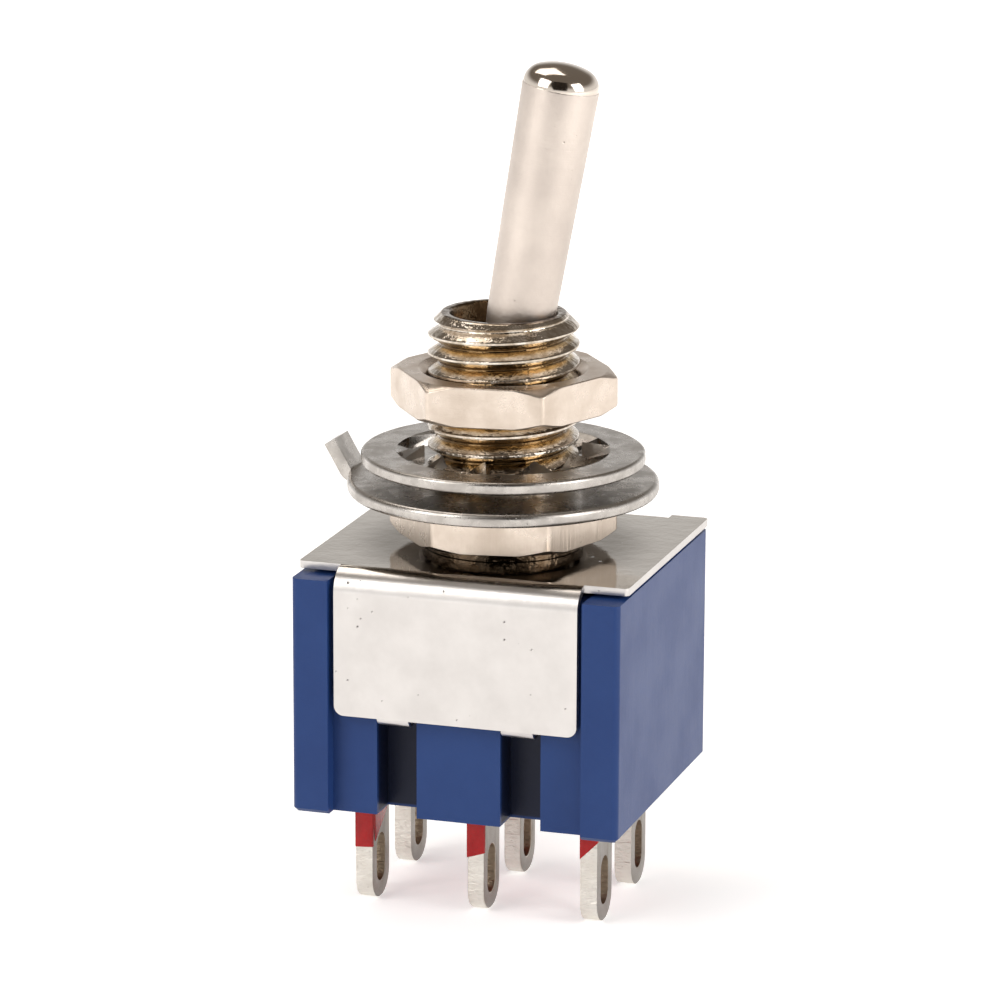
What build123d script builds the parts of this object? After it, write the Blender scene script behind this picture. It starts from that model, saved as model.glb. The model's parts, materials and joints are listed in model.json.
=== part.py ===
from build123d import *
from math import asin, atan, cos, degrees, pi, radians, sin, sqrt, tan
import os

# Miniature double-pole toggle switch with solder lugs, in millimetres.
# Z = 0 is the top of the frame, on the axis of the threaded bushing.
# X runs along each row of three terminals, which is the way the lever swings.
# The lever leans towards +X at rest, and the keyway faces -X.

# Clearances
seat_gap = 0.02            # pieces that touch when assembled
fit_gap = 0.05             # pieces that slide or turn on each other
guide_gap = 0.10           # moulded pieces that guide each other
overlap = 0.01             # how far pieces of one solid run into each other
past = 1.0                 # how far a cut runs past the surface it opens

# Case
case_h = 9.55
case_corner_r = 0.25
case_edge = 0.15
wall_x = 0.8               # end walls of the contact chambers
post_w = 1.5               # corner posts that stand proud of the panels
panel_inset = 0.65
panel_top_r = 0.6          # rounds the front panel's top, inside the frame's fold
groove_w = 1.65
groove_pitch = 5.1
groove_d = 1.35
floor_t = 1.6
seal_depth = 0.8
seal_wall_y = 0.4          # between the grooves and the resin's recess
seal_margin_x = 0.85       # from the end lugs to the recess's wall
seal_margin_y = 0.475
partition_t = 1.0
rib_w = 0.5                # low ribs on the end walls, which the frame rests on
rib_inset = 0.2
rib_y = 4.0

# Frame, folded from sheet
frame_t = 0.3
plate_gap = 0.15           # between the plate and the case's walls
frame_overhang = 0.05
tab_drop = 5.9
tab_gap = 0.23
tab_corner_r = 0.4
bend_r = 0.95              # outside radius of the front fold
rear_bend_r = 0.35
relief_w = 0.22            # slots between each tab and the corner posts
plate_corner_r = 0.2
foot_w = 1.3
foot_root = 0.6            # length of each foot that lies in the tab
foot_drop = 0.3
foot_reach = 0.75
foot_bend_r = 0.1

# Bushing, left plain at the thread's outside diameter but for the first groove
thread_d = 6.0
bushing_h = 9.4
lead_chamfer = 0.54
lead_land = 0.4            # above the first groove
first_groove_w = 0.66
first_groove_depth = 0.46
relief_h = 0.2             # undercut above the shoulder
relief_depth = 0.26
shoulder_w = 0.2
shoulder_h = 0.44
spigot_w = 0.1             # step from the thread down to the spigot
rim_w = 0.6
rim_t = 0.5
rim_chamfer = 0.25
mouth_r = 2.15
mouth_gap = 0.05           # to the lever where it comes to rest
throat_gap = 0.12
flare_w = 0.4
flare_top = 2.6            # below the pivot
keyway_w = 1.1
keyway_depth = 0.53

# Lever
pivot_z = 5.2
lever_lean = 9.8           # to each side of upright, in degrees
lever_reach = 14.39        # pivot to the crown of the tip
lever_tip_r = 1.52
lever_neck_r = 1.16
crown_h = 0.88
crown_edge_r = 0.75
ball_r = 1.88
tail_r = 0.8
tail_chamfer = 0.2
tail_flat = 1.24           # across the two flats that key the actuator
tail_grip = 2.2            # length held in the actuator

# Actuator, plungers and springs, measured down from the pivot
actuator_top = 6.8
actuator_bottom = 10.0
hub_r = 1.5
barrel_r = 1.15
web_t = 1.2
pad_w = 2.4
pad_t = 0.35
upper_wall_y = 1.15        # case panel to the upper chamber
under_actuator = 0.4       # room between the actuator and the lower chambers
plunger_r = 0.65
plunger_body = 1.3
shank_len = 0.05           # straight length of the nose, before its shoulder
shoulder_rise = 0.1
nose_r = 0.45
nose_reach = 11.0          # pivot to the centre of the nose
pocket_roof = 0.6
wire_d = 0.2
wire_sides = 6
spring_turns = 3

# Rockers
rocker_tilt = 6.5          # to each side of level, in degrees
rocker_t = 0.3
rocker_w = 1.7
rocker_past = 0.05         # beyond the middle of each end terminal
rocker_seat_r = 0.6        # outside radius of the bend it rocks on
rocker_tip_r = 0.4
waist_w = 0.95
waist_gap = 0.2            # to each side of the fork, along the rocker
nose_clear_mid = 0.15      # nose to rocker as the lever passes upright
nose_clear_end = 0.09      # nose to rocker where the lever rests

# Terminals
pitch_x = 4.7
row_y = 4.8
lug_t = 0.7
lug_w = 2.05
lug_len = 4.5
lug_corner_r = 0.95
eye_w = 1.0
eye_len = 2.0
eye_edge = 0.65
head_w = 2.3
ear_h = 0.35               # fork above the rocker's axis
fork_gap = 1.1

# Sealing resin
seal_short = 0.1           # below flush with the case
collar_h = 1.8
collar_corner_r = 0.35
collar_x = 0.5             # spread of the collar where it leaves the recess
collar_y = 0.42
collar_waist_h = 0.5
collar_waist = 0.16        # its spread lower down, where it hollows
collar_waist_corner_r = 0.15
collar_tip = 0.08

# Nuts and washers
nut_af = 8.0
nut_t = 1.6
nut_chamfer_r = 4.15
nut_chamfer_angle = 30.0
nut_bore_chamfer = 0.3
lower_nut_turn = 10.0
upper_nut_turn = 7.0
upper_nut_z = 5.56
ring_r = 6.2
ring_t = 0.55
ring_bore_gap = 0.12
tongue_root = 0.3
tongue_side_gap = 0.08
tongue_tip_gap = 0.1
ring_tab_w = 1.55
ring_tab_t = 0.5
ring_tab_turn = 60.0
ring_tab_bend_r = 0.2
ring_tab_root = 0.65       # length that lies in the ring
ring_tab_flat = 0.45       # length before the bend, the root included
ring_tab_rise = 1.3
washer_r = 5.65
washer_t = 0.5
washer_rim = 1.4
washer_z = 3.32
tooth_count = 10
tooth_w = 1.35             # where it leaves the rim
tooth_tip_w = 0.95
tooth_twist = 35.0

# Sizes and places that follow from those above
pole_y = row_y / 2
panel_y = pole_y + lug_w / 2 + seal_margin_y + seal_wall_y + groove_d
case_x = 2 * (pitch_x + lug_t / 2 + seal_margin_x + wall_x)
case_y = 2 * (panel_y + panel_inset)
wing_x = case_x / 2 - post_w
tab_w = 2 * (wing_x - relief_w)
case_top = -frame_t - plate_gap
case_bottom = case_top - case_h
chamber_floor = case_bottom + seal_depth + floor_t
lug_bottom = case_bottom - lug_len
tab_y = panel_y + tab_gap + frame_t
bend_start_y = tab_y - bend_r
rear_bend_start_y = tab_y - rear_bend_r
foot_top = -tab_drop - foot_drop + frame_t
ledge_z = foot_top + fit_gap
thread_r = thread_d / 2
shoulder_r = thread_r + shoulder_w
spigot_r = thread_r - spigot_w
rim_r = spigot_r + rim_w
keyway_floor_r = thread_r - keyway_depth
socket_r = ball_r + fit_gap + seat_gap
flare_r = socket_r + flare_w
pocket_r = plunger_r + fit_gap
upper_chamber_y = panel_y - upper_wall_y
lower_chamber_y = pole_y + head_w / 2 + fit_gap
actuator_y = upper_chamber_y - guide_gap

# The lever's waist and the bushing's throat leave room for it to lean
lean = radians(lever_lean)
mouth_rise = bushing_h - pivot_z
waist_r = (mouth_r - mouth_gap - mouth_rise * tan(lean)) * cos(lean)
neck_rise = sqrt(ball_r ** 2 - lever_neck_r ** 2)
throat_r = lever_neck_r / cos(lean) + neck_rise * tan(lean) + throat_gap
actuator_low = pivot_z - actuator_bottom * cos(lean) - pad_w / 2 * sin(lean)
chamber_step = actuator_low - under_actuator
lower_nut_z = shoulder_h + fit_gap
ring_z = lower_nut_z + nut_t + fit_gap
nut_bore_r = thread_r + fit_gap + overlap

# The rocker's trough follows the nose, which swings on a circle about the pivot
nose_lift = nose_reach * (1 - cos(lean))
nose_throw = nose_reach * sin(lean)
rest_slope = degrees(atan((nose_lift + nose_clear_mid - nose_clear_end) / nose_throw))
trough_angle = rest_slope + rocker_tilt
trough_z = pivot_z - nose_reach - nose_r / cos(radians(trough_angle)) - nose_clear_mid
rocker_top_r = rocker_seat_r - rocker_t
rocker_arm = pitch_x + rocker_past
rocker_z = trough_z + rocker_top_r / cos(radians(trough_angle))
fork_floor = rocker_z - rocker_seat_r - seat_gap
head_bottom = chamber_floor + seat_gap


def turned(*outline):
    """A solid turned about Z from a closed outline of edges in the XZ plane."""
    return revolve(make_face(list(outline)), Axis.Z)


def polygon_xz(points, close=False):
    return Polyline(*[(x, 0, z) for x, z in points], close=close).edges()


def block(x0, x1, y0, y1, z0, z1):
    """A box between two corners."""
    size = (x1 - x0, y1 - y0, z1 - z0)
    return Pos((x0 + x1) / 2, (y0 + y1) / 2, (z0 + z1) / 2) * Box(*size)


def bent_strip(t, lead, inner_r, turn, tail):
    """Side view of a strip that leaves the origin along +X and folds up by turn degrees."""
    centre = Vector(lead, t + inner_r)
    along = Vector(cos(radians(turn)), sin(radians(turn)))
    across = Vector(sin(radians(turn)), -cos(radians(turn)))
    outer_end = centre + across * (inner_r + t)
    inner_end = centre + across * inner_r
    return make_face([
        Line((0, 0), (lead, 0)),
        CenterArc(centre, inner_r + t, -90, turn),
        Line(outer_end, outer_end + along * tail),
        Line(outer_end + along * tail, inner_end + along * tail),
        Line(inner_end + along * tail, inner_end),
        CenterArc(centre, inner_r, -90, turn),
        Line((lead, t), (0, t)),
        Line((0, t), (0, 0)),
    ])


def slab(face, plane, width):
    """The face drawn on a plane, given a width to both sides of it."""
    return extrude(plane * face, amount=width / 2, both=True)


def terminal_places():
    """Name, X and Y of each of the six terminals."""
    for row, y in (("front", -pole_y), ("rear", pole_y)):
        for column, x in (("left", -pitch_x), ("centre", 0), ("right", pitch_x)):
            yield f"terminal_{row}_{column}", x, y


def case():
    """Moulded case: two contact chambers under one open chamber for the actuator."""
    x, y = case_x / 2, case_y / 2
    body = block(-x, x, -y, y, case_bottom, case_top)
    body = fillet(body.edges().filter_by(Axis.Z), case_corner_r)
    body = chamfer(body.faces().sort_by(Axis.Z)[0].edges(), case_edge)
    for side in (-1, 1):
        panel = block(-wing_x, wing_x, panel_y, y + past, case_bottom - past, case_top + past)
        body -= mirrored(panel, side)
    body = fillet(front_panel_top(body), panel_top_r)
    for side in (-1, 1):
        for column in (-1, 1):
            middle = column * groove_pitch / 2
            groove = block(middle - groove_w / 2, middle + groove_w / 2,
                           panel_y - groove_d, y + past, case_bottom - past, ledge_z)
            body -= mirrored(groove, side)
    inner_x = x - wall_x
    body -= block(-inner_x, inner_x, -upper_chamber_y, upper_chamber_y, chamber_step, case_top + past)
    for side in (-1, 1):
        chamber = block(-inner_x, inner_x, partition_t / 2, lower_chamber_y,
                        chamber_floor, chamber_step + past)
        body -= mirrored(chamber, side)
    body -= seal_block(0)
    for _, tx, ty in terminal_places():
        body -= Pos(tx, ty, 0) * lug_prism(seat_gap, chamber_floor + past, case_bottom)
    for side in (-1, 1):
        edges = sorted((side * (x - rib_inset - rib_w), side * (x - rib_inset)))
        body += block(*edges, -rib_y, rib_y, case_top - overlap, -frame_t - seat_gap)
    return body


def mirrored(solid, side):
    """The solid, or its mirror image in the XZ plane."""
    return solid if side > 0 else mirror(solid, about=Plane.XZ)


def front_panel_top(body):
    """The top edge of the front panel, inside the frame's wide fold."""
    top = body.faces().sort_by(Axis.Z)[-1]
    return [e for e in top.edges() if abs(e.center().Y + panel_y) < overlap and e.length > post_w]


def seal_block(gap):
    """The resin's block in the recess under the case, smaller all round by gap."""
    x = pitch_x + lug_t / 2 + seal_margin_x - gap
    y = pole_y + lug_w / 2 + seal_margin_y - gap
    bottom = case_bottom - past if gap == 0 else case_bottom + seal_short
    return block(-x, x, -y, y, bottom, case_bottom + seal_depth - gap)


def lug_prism(gap, top, bottom):
    """The plain section of a terminal, larger all round by gap."""
    x, y = lug_t / 2 + gap, lug_w / 2 + gap
    return block(-x, x, -y, y, bottom, top)


def fold_edge(body, side):
    """The long top edge at the front or the rear, where the sheet folds down."""
    edges = body.edges().filter_by(Axis.X).group_by(Axis.Z)[-1].sort_by(Axis.Y)
    return edges[-1] if side > 0 else edges[0]


def frame():
    """Sheet frame: a plate, a folded tab on each long side and four clenched feet."""
    x, y = case_x / 2 + frame_overhang, case_y / 2
    channel = block(-tab_w / 2, tab_w / 2, -tab_y, tab_y, -tab_drop, 0)
    hollow_y = tab_y - frame_t
    hollow_x = tab_w / 2 + past
    hollow = block(-hollow_x, hollow_x, -hollow_y, hollow_y, -tab_drop - past, -frame_t)
    for side, outer_r in ((-1, bend_r), (1, rear_bend_r)):
        channel = fillet(fold_edge(channel, side), outer_r)
        hollow = fillet(fold_edge(hollow, side), outer_r - frame_t)
    channel -= hollow
    channel = fillet(channel.edges().filter_by(Axis.Y).group_by(Axis.Z)[0], tab_corner_r)
    plate = block(-x, x, -bend_start_y, rear_bend_start_y, -frame_t, 0)
    for side in (-1, 1):
        edges = sorted((side * wing_x, side * x))
        plate += block(*edges, rear_bend_start_y - overlap, y, -frame_t, 0)
    body = channel + plate
    corners = [e for e in body.edges().filter_by(Axis.Z) if abs(abs(e.center().X) - x) < overlap]
    body = fillet(corners, plate_corner_r)
    foot_lead = foot_root + foot_drop - frame_t - foot_bend_r
    foot_side = bent_strip(frame_t, foot_lead, foot_bend_r, 90, foot_reach)
    # drawn with +X down the tab and +Y into the case
    down = Plane(origin=(0, tab_y, -tab_drop + foot_root), x_dir=(0, 0, -1), z_dir=(-1, 0, 0))
    foot = slab(foot_side, down, foot_w)
    for side in (-1, 1):
        for column in (-1, 1):
            body += mirrored(Pos(column * groove_pitch / 2, 0, 0) * foot, side)
    return body - Cylinder(spigot_r + seat_gap, 3 * frame_t)


def bushing():
    """Turned bushing: threaded barrel, ball seat, shoulder on the frame and rim staked under it."""
    seat_z = pivot_z + sqrt(socket_r ** 2 - throat_r ** 2)
    half = radians((90 + degrees(asin(throat_r / socket_r))) / 2)
    mid_seat = (socket_r * sin(half), 0, pivot_z + socket_r * cos(half))
    bottom = -frame_t - seat_gap - rim_t
    flare_z = pivot_z - flare_top
    relief_r = thread_r - relief_depth
    relief_top = shoulder_h + relief_h
    land_bottom = bushing_h - lead_chamfer - lead_land
    outer = polygon_xz([
        (flare_r, bottom), (rim_r - rim_chamfer, bottom), (rim_r, bottom + rim_chamfer),
        (rim_r, bottom + rim_t), (spigot_r, bottom + rim_t), (spigot_r, 0),
        (shoulder_r, 0), (shoulder_r, shoulder_h), (relief_r, shoulder_h), (relief_r, relief_top),
        (thread_r, relief_top + relief_depth), (thread_r, land_bottom - first_groove_w),
        (thread_r - first_groove_depth, land_bottom - first_groove_w / 2), (thread_r, land_bottom),
        (thread_r, bushing_h - lead_chamfer), (thread_r - lead_chamfer, bushing_h),
        (mouth_r, bushing_h), (throat_r, seat_z),
    ])
    seat = ThreePointArc((throat_r, 0, seat_z), mid_seat, (socket_r, 0, pivot_z))
    inner = polygon_xz([(socket_r, pivot_z), (socket_r, flare_z), (flare_r, bottom)])
    body = turned(*outer, seat, *inner)
    slot_y = keyway_w / 2
    return body - block(-thread_r - past, -keyway_floor_r, -slot_y, slot_y, shoulder_h, bushing_h + past)


def on_lever(solid):
    """Place what is drawn about an upright pivot at the origin, with the lever at rest."""
    return Pos(0, 0, pivot_z) * Rot(0, lever_lean, 0) * solid


def toggle_lever():
    """Turned lever: crowned tip, long taper, ball and flatted tail."""
    tail_z = -sqrt(ball_r ** 2 - tail_r ** 2)
    tail_end = -actuator_top - tail_grip
    edge_z = lever_reach - crown_h
    crown = lever_crown(edge_z)
    ball = ThreePointArc((tail_r, 0, tail_z), (ball_r, 0, 0), (lever_neck_r, 0, neck_rise))
    body = turned(
        *polygon_xz([
            (0, tail_end), (tail_r - tail_chamfer, tail_end), (tail_r, tail_end + tail_chamfer),
            (tail_r, tail_z),
        ]),
        ball,
        *polygon_xz([(lever_neck_r, neck_rise), (waist_r, mouth_rise), (lever_tip_r, edge_z)]),
        *crown,
        *polygon_xz([(0, lever_reach), (0, tail_end)]),
    )
    for side in (-1, 1):
        flat = block(-past, past, tail_flat / 2, tail_r + past, tail_end - past, -actuator_top + seat_gap)
        body -= mirrored(flat, side)
    return on_lever(body)


def lever_crown(edge_z):
    """Quarter-oval from the lever's side to the middle of its tip, as two tangent arcs."""
    rise = crown_h - crown_edge_r
    small = Vector(lever_tip_r - crown_edge_r, 0, edge_z)
    # the large arc is centred on the axis and meets the small one on their common normal
    offset = lever_tip_r - crown_edge_r
    large_r = (offset ** 2 + rise ** 2) / (2 * rise) + crown_edge_r
    centre_z = lever_reach - large_r
    turn = atan(offset / (edge_z - centre_z))
    meet = small + Vector(sin(turn), 0, cos(turn)) * crown_edge_r
    mid_small = small + Vector(sin((pi / 2 + turn) / 2), 0, cos((pi / 2 + turn) / 2)) * crown_edge_r
    mid_large = Vector(sin(turn / 2), 0, cos(turn / 2)) * large_r + Vector(0, 0, centre_z)
    return [
        ThreePointArc((lever_tip_r, 0, edge_z), mid_small, meet),
        ThreePointArc(meet, mid_large, (0, 0, lever_reach)),
    ]


def actuator():
    """Moulded carrier on the lever's tail: a hub, two spring barrels and guide pads."""
    def upright(r, y=0):
        column = Cylinder(r, actuator_bottom - actuator_top, align=(Align.CENTER, Align.CENTER, Align.MAX))
        return Pos(0, y, -actuator_top) * column

    body = upright(hub_r)
    body += block(-web_t / 2, web_t / 2, -actuator_y, actuator_y, -actuator_bottom, -actuator_top)
    pocket_top = -actuator_top - pocket_roof
    for side in (-1, 1):
        body += upright(barrel_r, side * pole_y)
        pad = block(-pad_w / 2, pad_w / 2, actuator_y - pad_t, actuator_y, -actuator_bottom, -actuator_top)
        body += mirrored(pad, side)
    for side in (-1, 1):
        pocket = Cylinder(pocket_r, actuator_bottom, align=(Align.CENTER, Align.CENTER, Align.MAX))
        body -= Pos(0, side * pole_y, pocket_top) * pocket
    socket = Cylinder(tail_r + seat_gap, tail_grip + fit_gap, align=(Align.CENTER, Align.CENTER, Align.MAX))
    across = tail_flat / 2 + seat_gap
    socket &= block(-tail_r - past, tail_r + past, -across, across, -actuator_bottom, 0)
    body -= Pos(0, 0, -actuator_top) * socket
    return on_lever(body)


def plunger(y):
    """Turned brass plunger with a round nose that pushes the rocker over."""
    top = -nose_reach + nose_r + plunger_body
    shoulder = -nose_reach + shank_len + shoulder_rise
    nose = ThreePointArc(
        (0, 0, -nose_reach - nose_r),
        (nose_r * sin(pi / 4), 0, -nose_reach - nose_r * cos(pi / 4)),
        (nose_r, 0, -nose_reach),
    )
    body = turned(nose, *polygon_xz([
        (nose_r, -nose_reach), (nose_r, shoulder - shoulder_rise), (plunger_r, shoulder),
        (plunger_r, top), (0, top), (0, -nose_reach - nose_r),
    ]))
    return on_lever(Pos(0, y, 0) * body)


def spring(y):
    """Coil spring between the plunger and the roof of its pocket."""
    low = -nose_reach + nose_r + plunger_body + wire_d / 2 + seat_gap
    high = -actuator_top - pocket_roof - wire_d / 2 - seat_gap
    radius = pocket_r - fit_gap - wire_d / 2
    height = high - low
    path = Helix(height / spring_turns, height, radius)
    section = Plane(origin=path @ 0, z_dir=path % 0) * RegularPolygon(wire_d / 2, wire_sides)
    return on_lever(Pos(0, y, low) * sweep(section, path))


def rocker(y):
    """Stamped trough-shaped contact that rocks in the fork of the centre terminal."""
    out_normal = Vector(sin(radians(trough_angle)), -cos(radians(trough_angle)))
    along = Vector(cos(radians(trough_angle)), sin(radians(trough_angle)))
    length = rocker_arm / cos(radians(trough_angle))
    low, high = out_normal * rocker_seat_r, out_normal * rocker_top_r
    low_end, high_end = low + along * length, high + along * length

    def left(v):
        return Vector(-v.X, v.Y)

    side_view = make_face([
        Line(left(low_end), left(low)),
        ThreePointArc(left(low), (0, -rocker_seat_r), low),
        Line(low, low_end),
        Line(low_end, high_end),
        Line(high_end, high),
        ThreePointArc(high, (0, -rocker_top_r), left(high)),
        Line(left(high), left(high_end)),
        Line(left(high_end), left(low_end)),
    ])
    body = slab(side_view, Plane.XZ, rocker_w)
    tips = [e for e in body.edges() if abs(e.center().X) > rocker_arm - rocker_t]
    corners = [e for e in tips if abs(e.center().Y) > rocker_w / 2 - overlap and e.length < 1.1 * rocker_t]
    body = fillet(corners, rocker_tip_r)
    waist_x = lug_t / 2 + waist_gap
    for side in (-1, 1):
        waist = block(-waist_x, waist_x, waist_w / 2, rocker_w, -past, past)
        body -= mirrored(waist, side)
    return Pos(0, y, rocker_z) * Rot(0, -rocker_tilt, 0) * body


def lug_blade():
    """The part of a terminal outside the case, rounded at its end, with a long eyelet."""
    blade = lug_prism(0, head_bottom, lug_bottom)
    blade = fillet(blade.edges().filter_by(Axis.X).group_by(Axis.Z)[0], lug_corner_r)
    eye = extrude(Plane.YZ * SlotOverall(eye_len, eye_w, rotation=90), amount=lug_t, both=True)
    return blade - Pos(0, 0, lug_bottom + eye_edge + eye_len / 2) * eye


def end_terminal(x, y):
    """Terminal that the rocker's arm lands on, with a head rounded across its thickness."""
    round_r = lug_t / 2
    slope = radians(rest_slope)
    reach = rocker_seat_r + round_r + seat_gap
    centre_z = rocker_z + (pitch_x * sin(slope) - reach) / cos(slope)
    top = centre_z + round_r
    head = block(-lug_t / 2, lug_t / 2, -head_w / 2, head_w / 2, head_bottom, top)
    head = fillet(head.edges().filter_by(Axis.Y).group_by(Axis.Z)[-1], round_r - overlap)
    return Pos(x, y, 0) * (head + lug_blade())


def centre_terminal(x, y):
    """Terminal with a fork that the rocker's waist sits in."""
    top = rocker_z + ear_h
    head = block(-lug_t / 2, lug_t / 2, -head_w / 2, head_w / 2, head_bottom, top)
    head -= block(-lug_t, lug_t, -fork_gap / 2, fork_gap / 2, fork_floor, top + past)
    return Pos(x, y, 0) * (head + lug_blade())


def terminal_seal():
    """Red resin that fills the recess and climbs a little way down each lug."""
    body = seal_block(seat_gap)
    top = case_bottom + seal_short
    for _, x, y in terminal_places():
        root = RectangleRounded(lug_t + 2 * collar_x, lug_w + 2 * collar_y, collar_corner_r)
        waist = RectangleRounded(lug_t + 2 * collar_waist, lug_w + 2 * collar_waist, collar_waist_corner_r)
        tip = RectangleRounded(lug_t + 2 * collar_tip, lug_w + 2 * collar_tip, collar_tip)
        sections = [
            Pos(0, 0, top + overlap) * root,
            Pos(0, 0, top - collar_waist_h) * waist,
            Pos(0, 0, top - collar_h) * tip,
        ]
        body += Pos(x, y, 0) * loft(sections, ruled=True)
    for _, x, y in terminal_places():
        body -= Pos(x, y, 0) * lug_prism(seat_gap / 2, 0, lug_bottom)
    return body


def nut(turn, z):
    """Thin hexagon nut with both faces chamfered, bored to run on the thread's crests."""
    hexagon = RegularPolygon(nut_af / 2, 6, major_radius=False, rotation=turn)
    body = extrude(hexagon, amount=nut_t)
    corner_r = nut_af / 2 / cos(pi / 6) + fit_gap
    drop = (corner_r - nut_chamfer_r) * tan(radians(nut_chamfer_angle))
    body &= turned(*polygon_xz([
        (0, 0), (nut_chamfer_r, 0), (corner_r, drop), (corner_r, nut_t - drop),
        (nut_chamfer_r, nut_t), (0, nut_t),
    ], close=True))
    wide = nut_bore_r + nut_bore_chamfer
    body -= turned(*polygon_xz([
        (0, -past), (wide, -past), (wide, 0), (nut_bore_r, nut_bore_chamfer),
        (nut_bore_r, nut_t - nut_bore_chamfer), (wide, nut_t), (wide, nut_t + past), (0, nut_t + past),
    ], close=True))
    return Pos(0, 0, z) * body


def locating_ring():
    """Flat ring with a tongue in the keyway and a tab folded up to enter the panel."""
    bore_r = thread_r + ring_bore_gap
    body = Cylinder(ring_r, ring_t, align=(Align.CENTER, Align.CENTER, Align.MIN))
    body -= Cylinder(bore_r, 3 * ring_t)
    tongue_y = keyway_w / 2 - tongue_side_gap
    tongue_tip = -keyway_floor_r - tongue_tip_gap
    body += block(-bore_r - tongue_root, tongue_tip, -tongue_y, tongue_y, 0, ring_t)
    strip = bent_strip(ring_tab_t, ring_tab_flat, ring_tab_bend_r, ring_tab_turn, ring_tab_rise)
    outward = Plane(origin=(-ring_r + ring_tab_root, 0, 0), x_dir=(-1, 0, 0), z_dir=(0, 1, 0))
    body += slab(strip, outward, ring_tab_w)
    return Pos(0, 0, ring_z) * body


def tooth_corners(r, width, twist):
    """Corners of a tooth's cross-section at radius r, turned about the tooth's length."""
    corners = [(-width, -washer_t), (width, -washer_t), (width, washer_t), (-width, washer_t)]
    return [
        Vector(r, (y * cos(twist) - z * sin(twist)) / 2, (y * sin(twist) + z * cos(twist)) / 2)
        for y, z in corners
    ]


def flat_sided(start, end):
    """A solid between two polygons of as many corners, with two flat triangles to each side."""
    outlines = [start, end]
    for i, (a, b) in enumerate(zip(start, end)):
        outlines += [[start[i - 1], a, b], [start[i - 1], b, end[i - 1]]]
    return Solid(Shell([Face(Wire.make_polygon(points)) for points in outlines]))


def lock_washer():
    """Internal-tooth lock washer: a flat rim with twisted teeth that reach the thread."""
    inner_r = washer_r - washer_rim
    body = Cylinder(washer_r, washer_t) - Cylinder(inner_r, 2 * washer_t)
    root = tooth_corners(inner_r + overlap, tooth_w, 0)
    tip = tooth_corners(thread_r + ring_bore_gap, tooth_tip_w, radians(tooth_twist))
    tooth = flat_sided(root, tip)
    for i in range(tooth_count):
        body += Rot(0, 0, 360 / tooth_count * (i + 0.5)) * tooth
    return Pos(0, 0, washer_z + washer_t / 2) * body


def build():
    """Every sub-part by node name."""
    parts = {
        "case": case(),
        "frame": frame(),
        "bushing": bushing(),
        "toggle_lever": toggle_lever(),
        "actuator": actuator(),
        "terminal_seal": terminal_seal(),
        "lower_nut": nut(lower_nut_turn, lower_nut_z),
        "upper_nut": nut(upper_nut_turn, upper_nut_z),
        "locating_ring": locating_ring(),
        "lock_washer": lock_washer(),
    }
    for row, y in (("front", -pole_y), ("rear", pole_y)):
        parts[f"plunger_{row}"] = plunger(y)
        parts[f"spring_{row}"] = spring(y)
        parts[f"rocker_{row}"] = rocker(y)
    for name, x, y in terminal_places():
        parts[name] = centre_terminal(x, y) if x == 0 else end_terminal(x, y)
    return parts


def main():
    os.makedirs("parts", exist_ok=True)
    for name, solid in build().items():
        export_step(solid, f"parts/{name}.step")


main()
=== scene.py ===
"""Looks of a miniature toggle switch, built around its packed CAD model as the fixed frame.

Z = 0 is the top of the sheet frame and the bushing's axis is Z. The lever leans towards +X.
Settings hold lengths in metres. MM turns the millimetres of a drawing into metres.
"""

import json
import math

import bpy
from bpy.props import FloatProperty, FloatVectorProperty, IntProperty, PointerProperty
from mathutils import Matrix, Vector


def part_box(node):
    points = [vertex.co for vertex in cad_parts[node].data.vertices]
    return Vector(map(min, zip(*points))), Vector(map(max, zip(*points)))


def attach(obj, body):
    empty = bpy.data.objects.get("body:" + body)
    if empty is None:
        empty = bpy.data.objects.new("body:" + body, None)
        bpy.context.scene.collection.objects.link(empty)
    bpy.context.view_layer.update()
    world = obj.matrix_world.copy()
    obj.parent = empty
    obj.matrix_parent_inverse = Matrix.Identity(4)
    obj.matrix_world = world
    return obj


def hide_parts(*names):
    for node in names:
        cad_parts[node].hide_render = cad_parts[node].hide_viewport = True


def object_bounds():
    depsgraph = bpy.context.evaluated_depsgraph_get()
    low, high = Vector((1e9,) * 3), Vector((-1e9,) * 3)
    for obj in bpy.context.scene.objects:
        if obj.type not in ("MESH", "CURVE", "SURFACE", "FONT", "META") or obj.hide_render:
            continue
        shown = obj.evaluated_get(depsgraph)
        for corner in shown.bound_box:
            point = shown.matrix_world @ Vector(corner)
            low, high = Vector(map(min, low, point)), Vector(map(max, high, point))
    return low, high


bl_info = {
    "name": "Miniature toggle switch",
    "version": (1, 0, 0),
    "blender": (4, 5, 0),
    "location": "3D View > Sidebar > Toggle switch",
    "description": "Builds the finished pieces of a miniature toggle switch on its CAD frame",
    "category": "Add Mesh",
}

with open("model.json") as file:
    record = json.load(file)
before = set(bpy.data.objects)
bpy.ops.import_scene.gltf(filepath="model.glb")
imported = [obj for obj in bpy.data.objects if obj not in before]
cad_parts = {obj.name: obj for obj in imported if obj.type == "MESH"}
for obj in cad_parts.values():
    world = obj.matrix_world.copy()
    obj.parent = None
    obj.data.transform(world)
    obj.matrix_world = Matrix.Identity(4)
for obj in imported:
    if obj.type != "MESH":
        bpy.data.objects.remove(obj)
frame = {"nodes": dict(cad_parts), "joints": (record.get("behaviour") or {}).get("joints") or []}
CAD_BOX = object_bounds()

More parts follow.
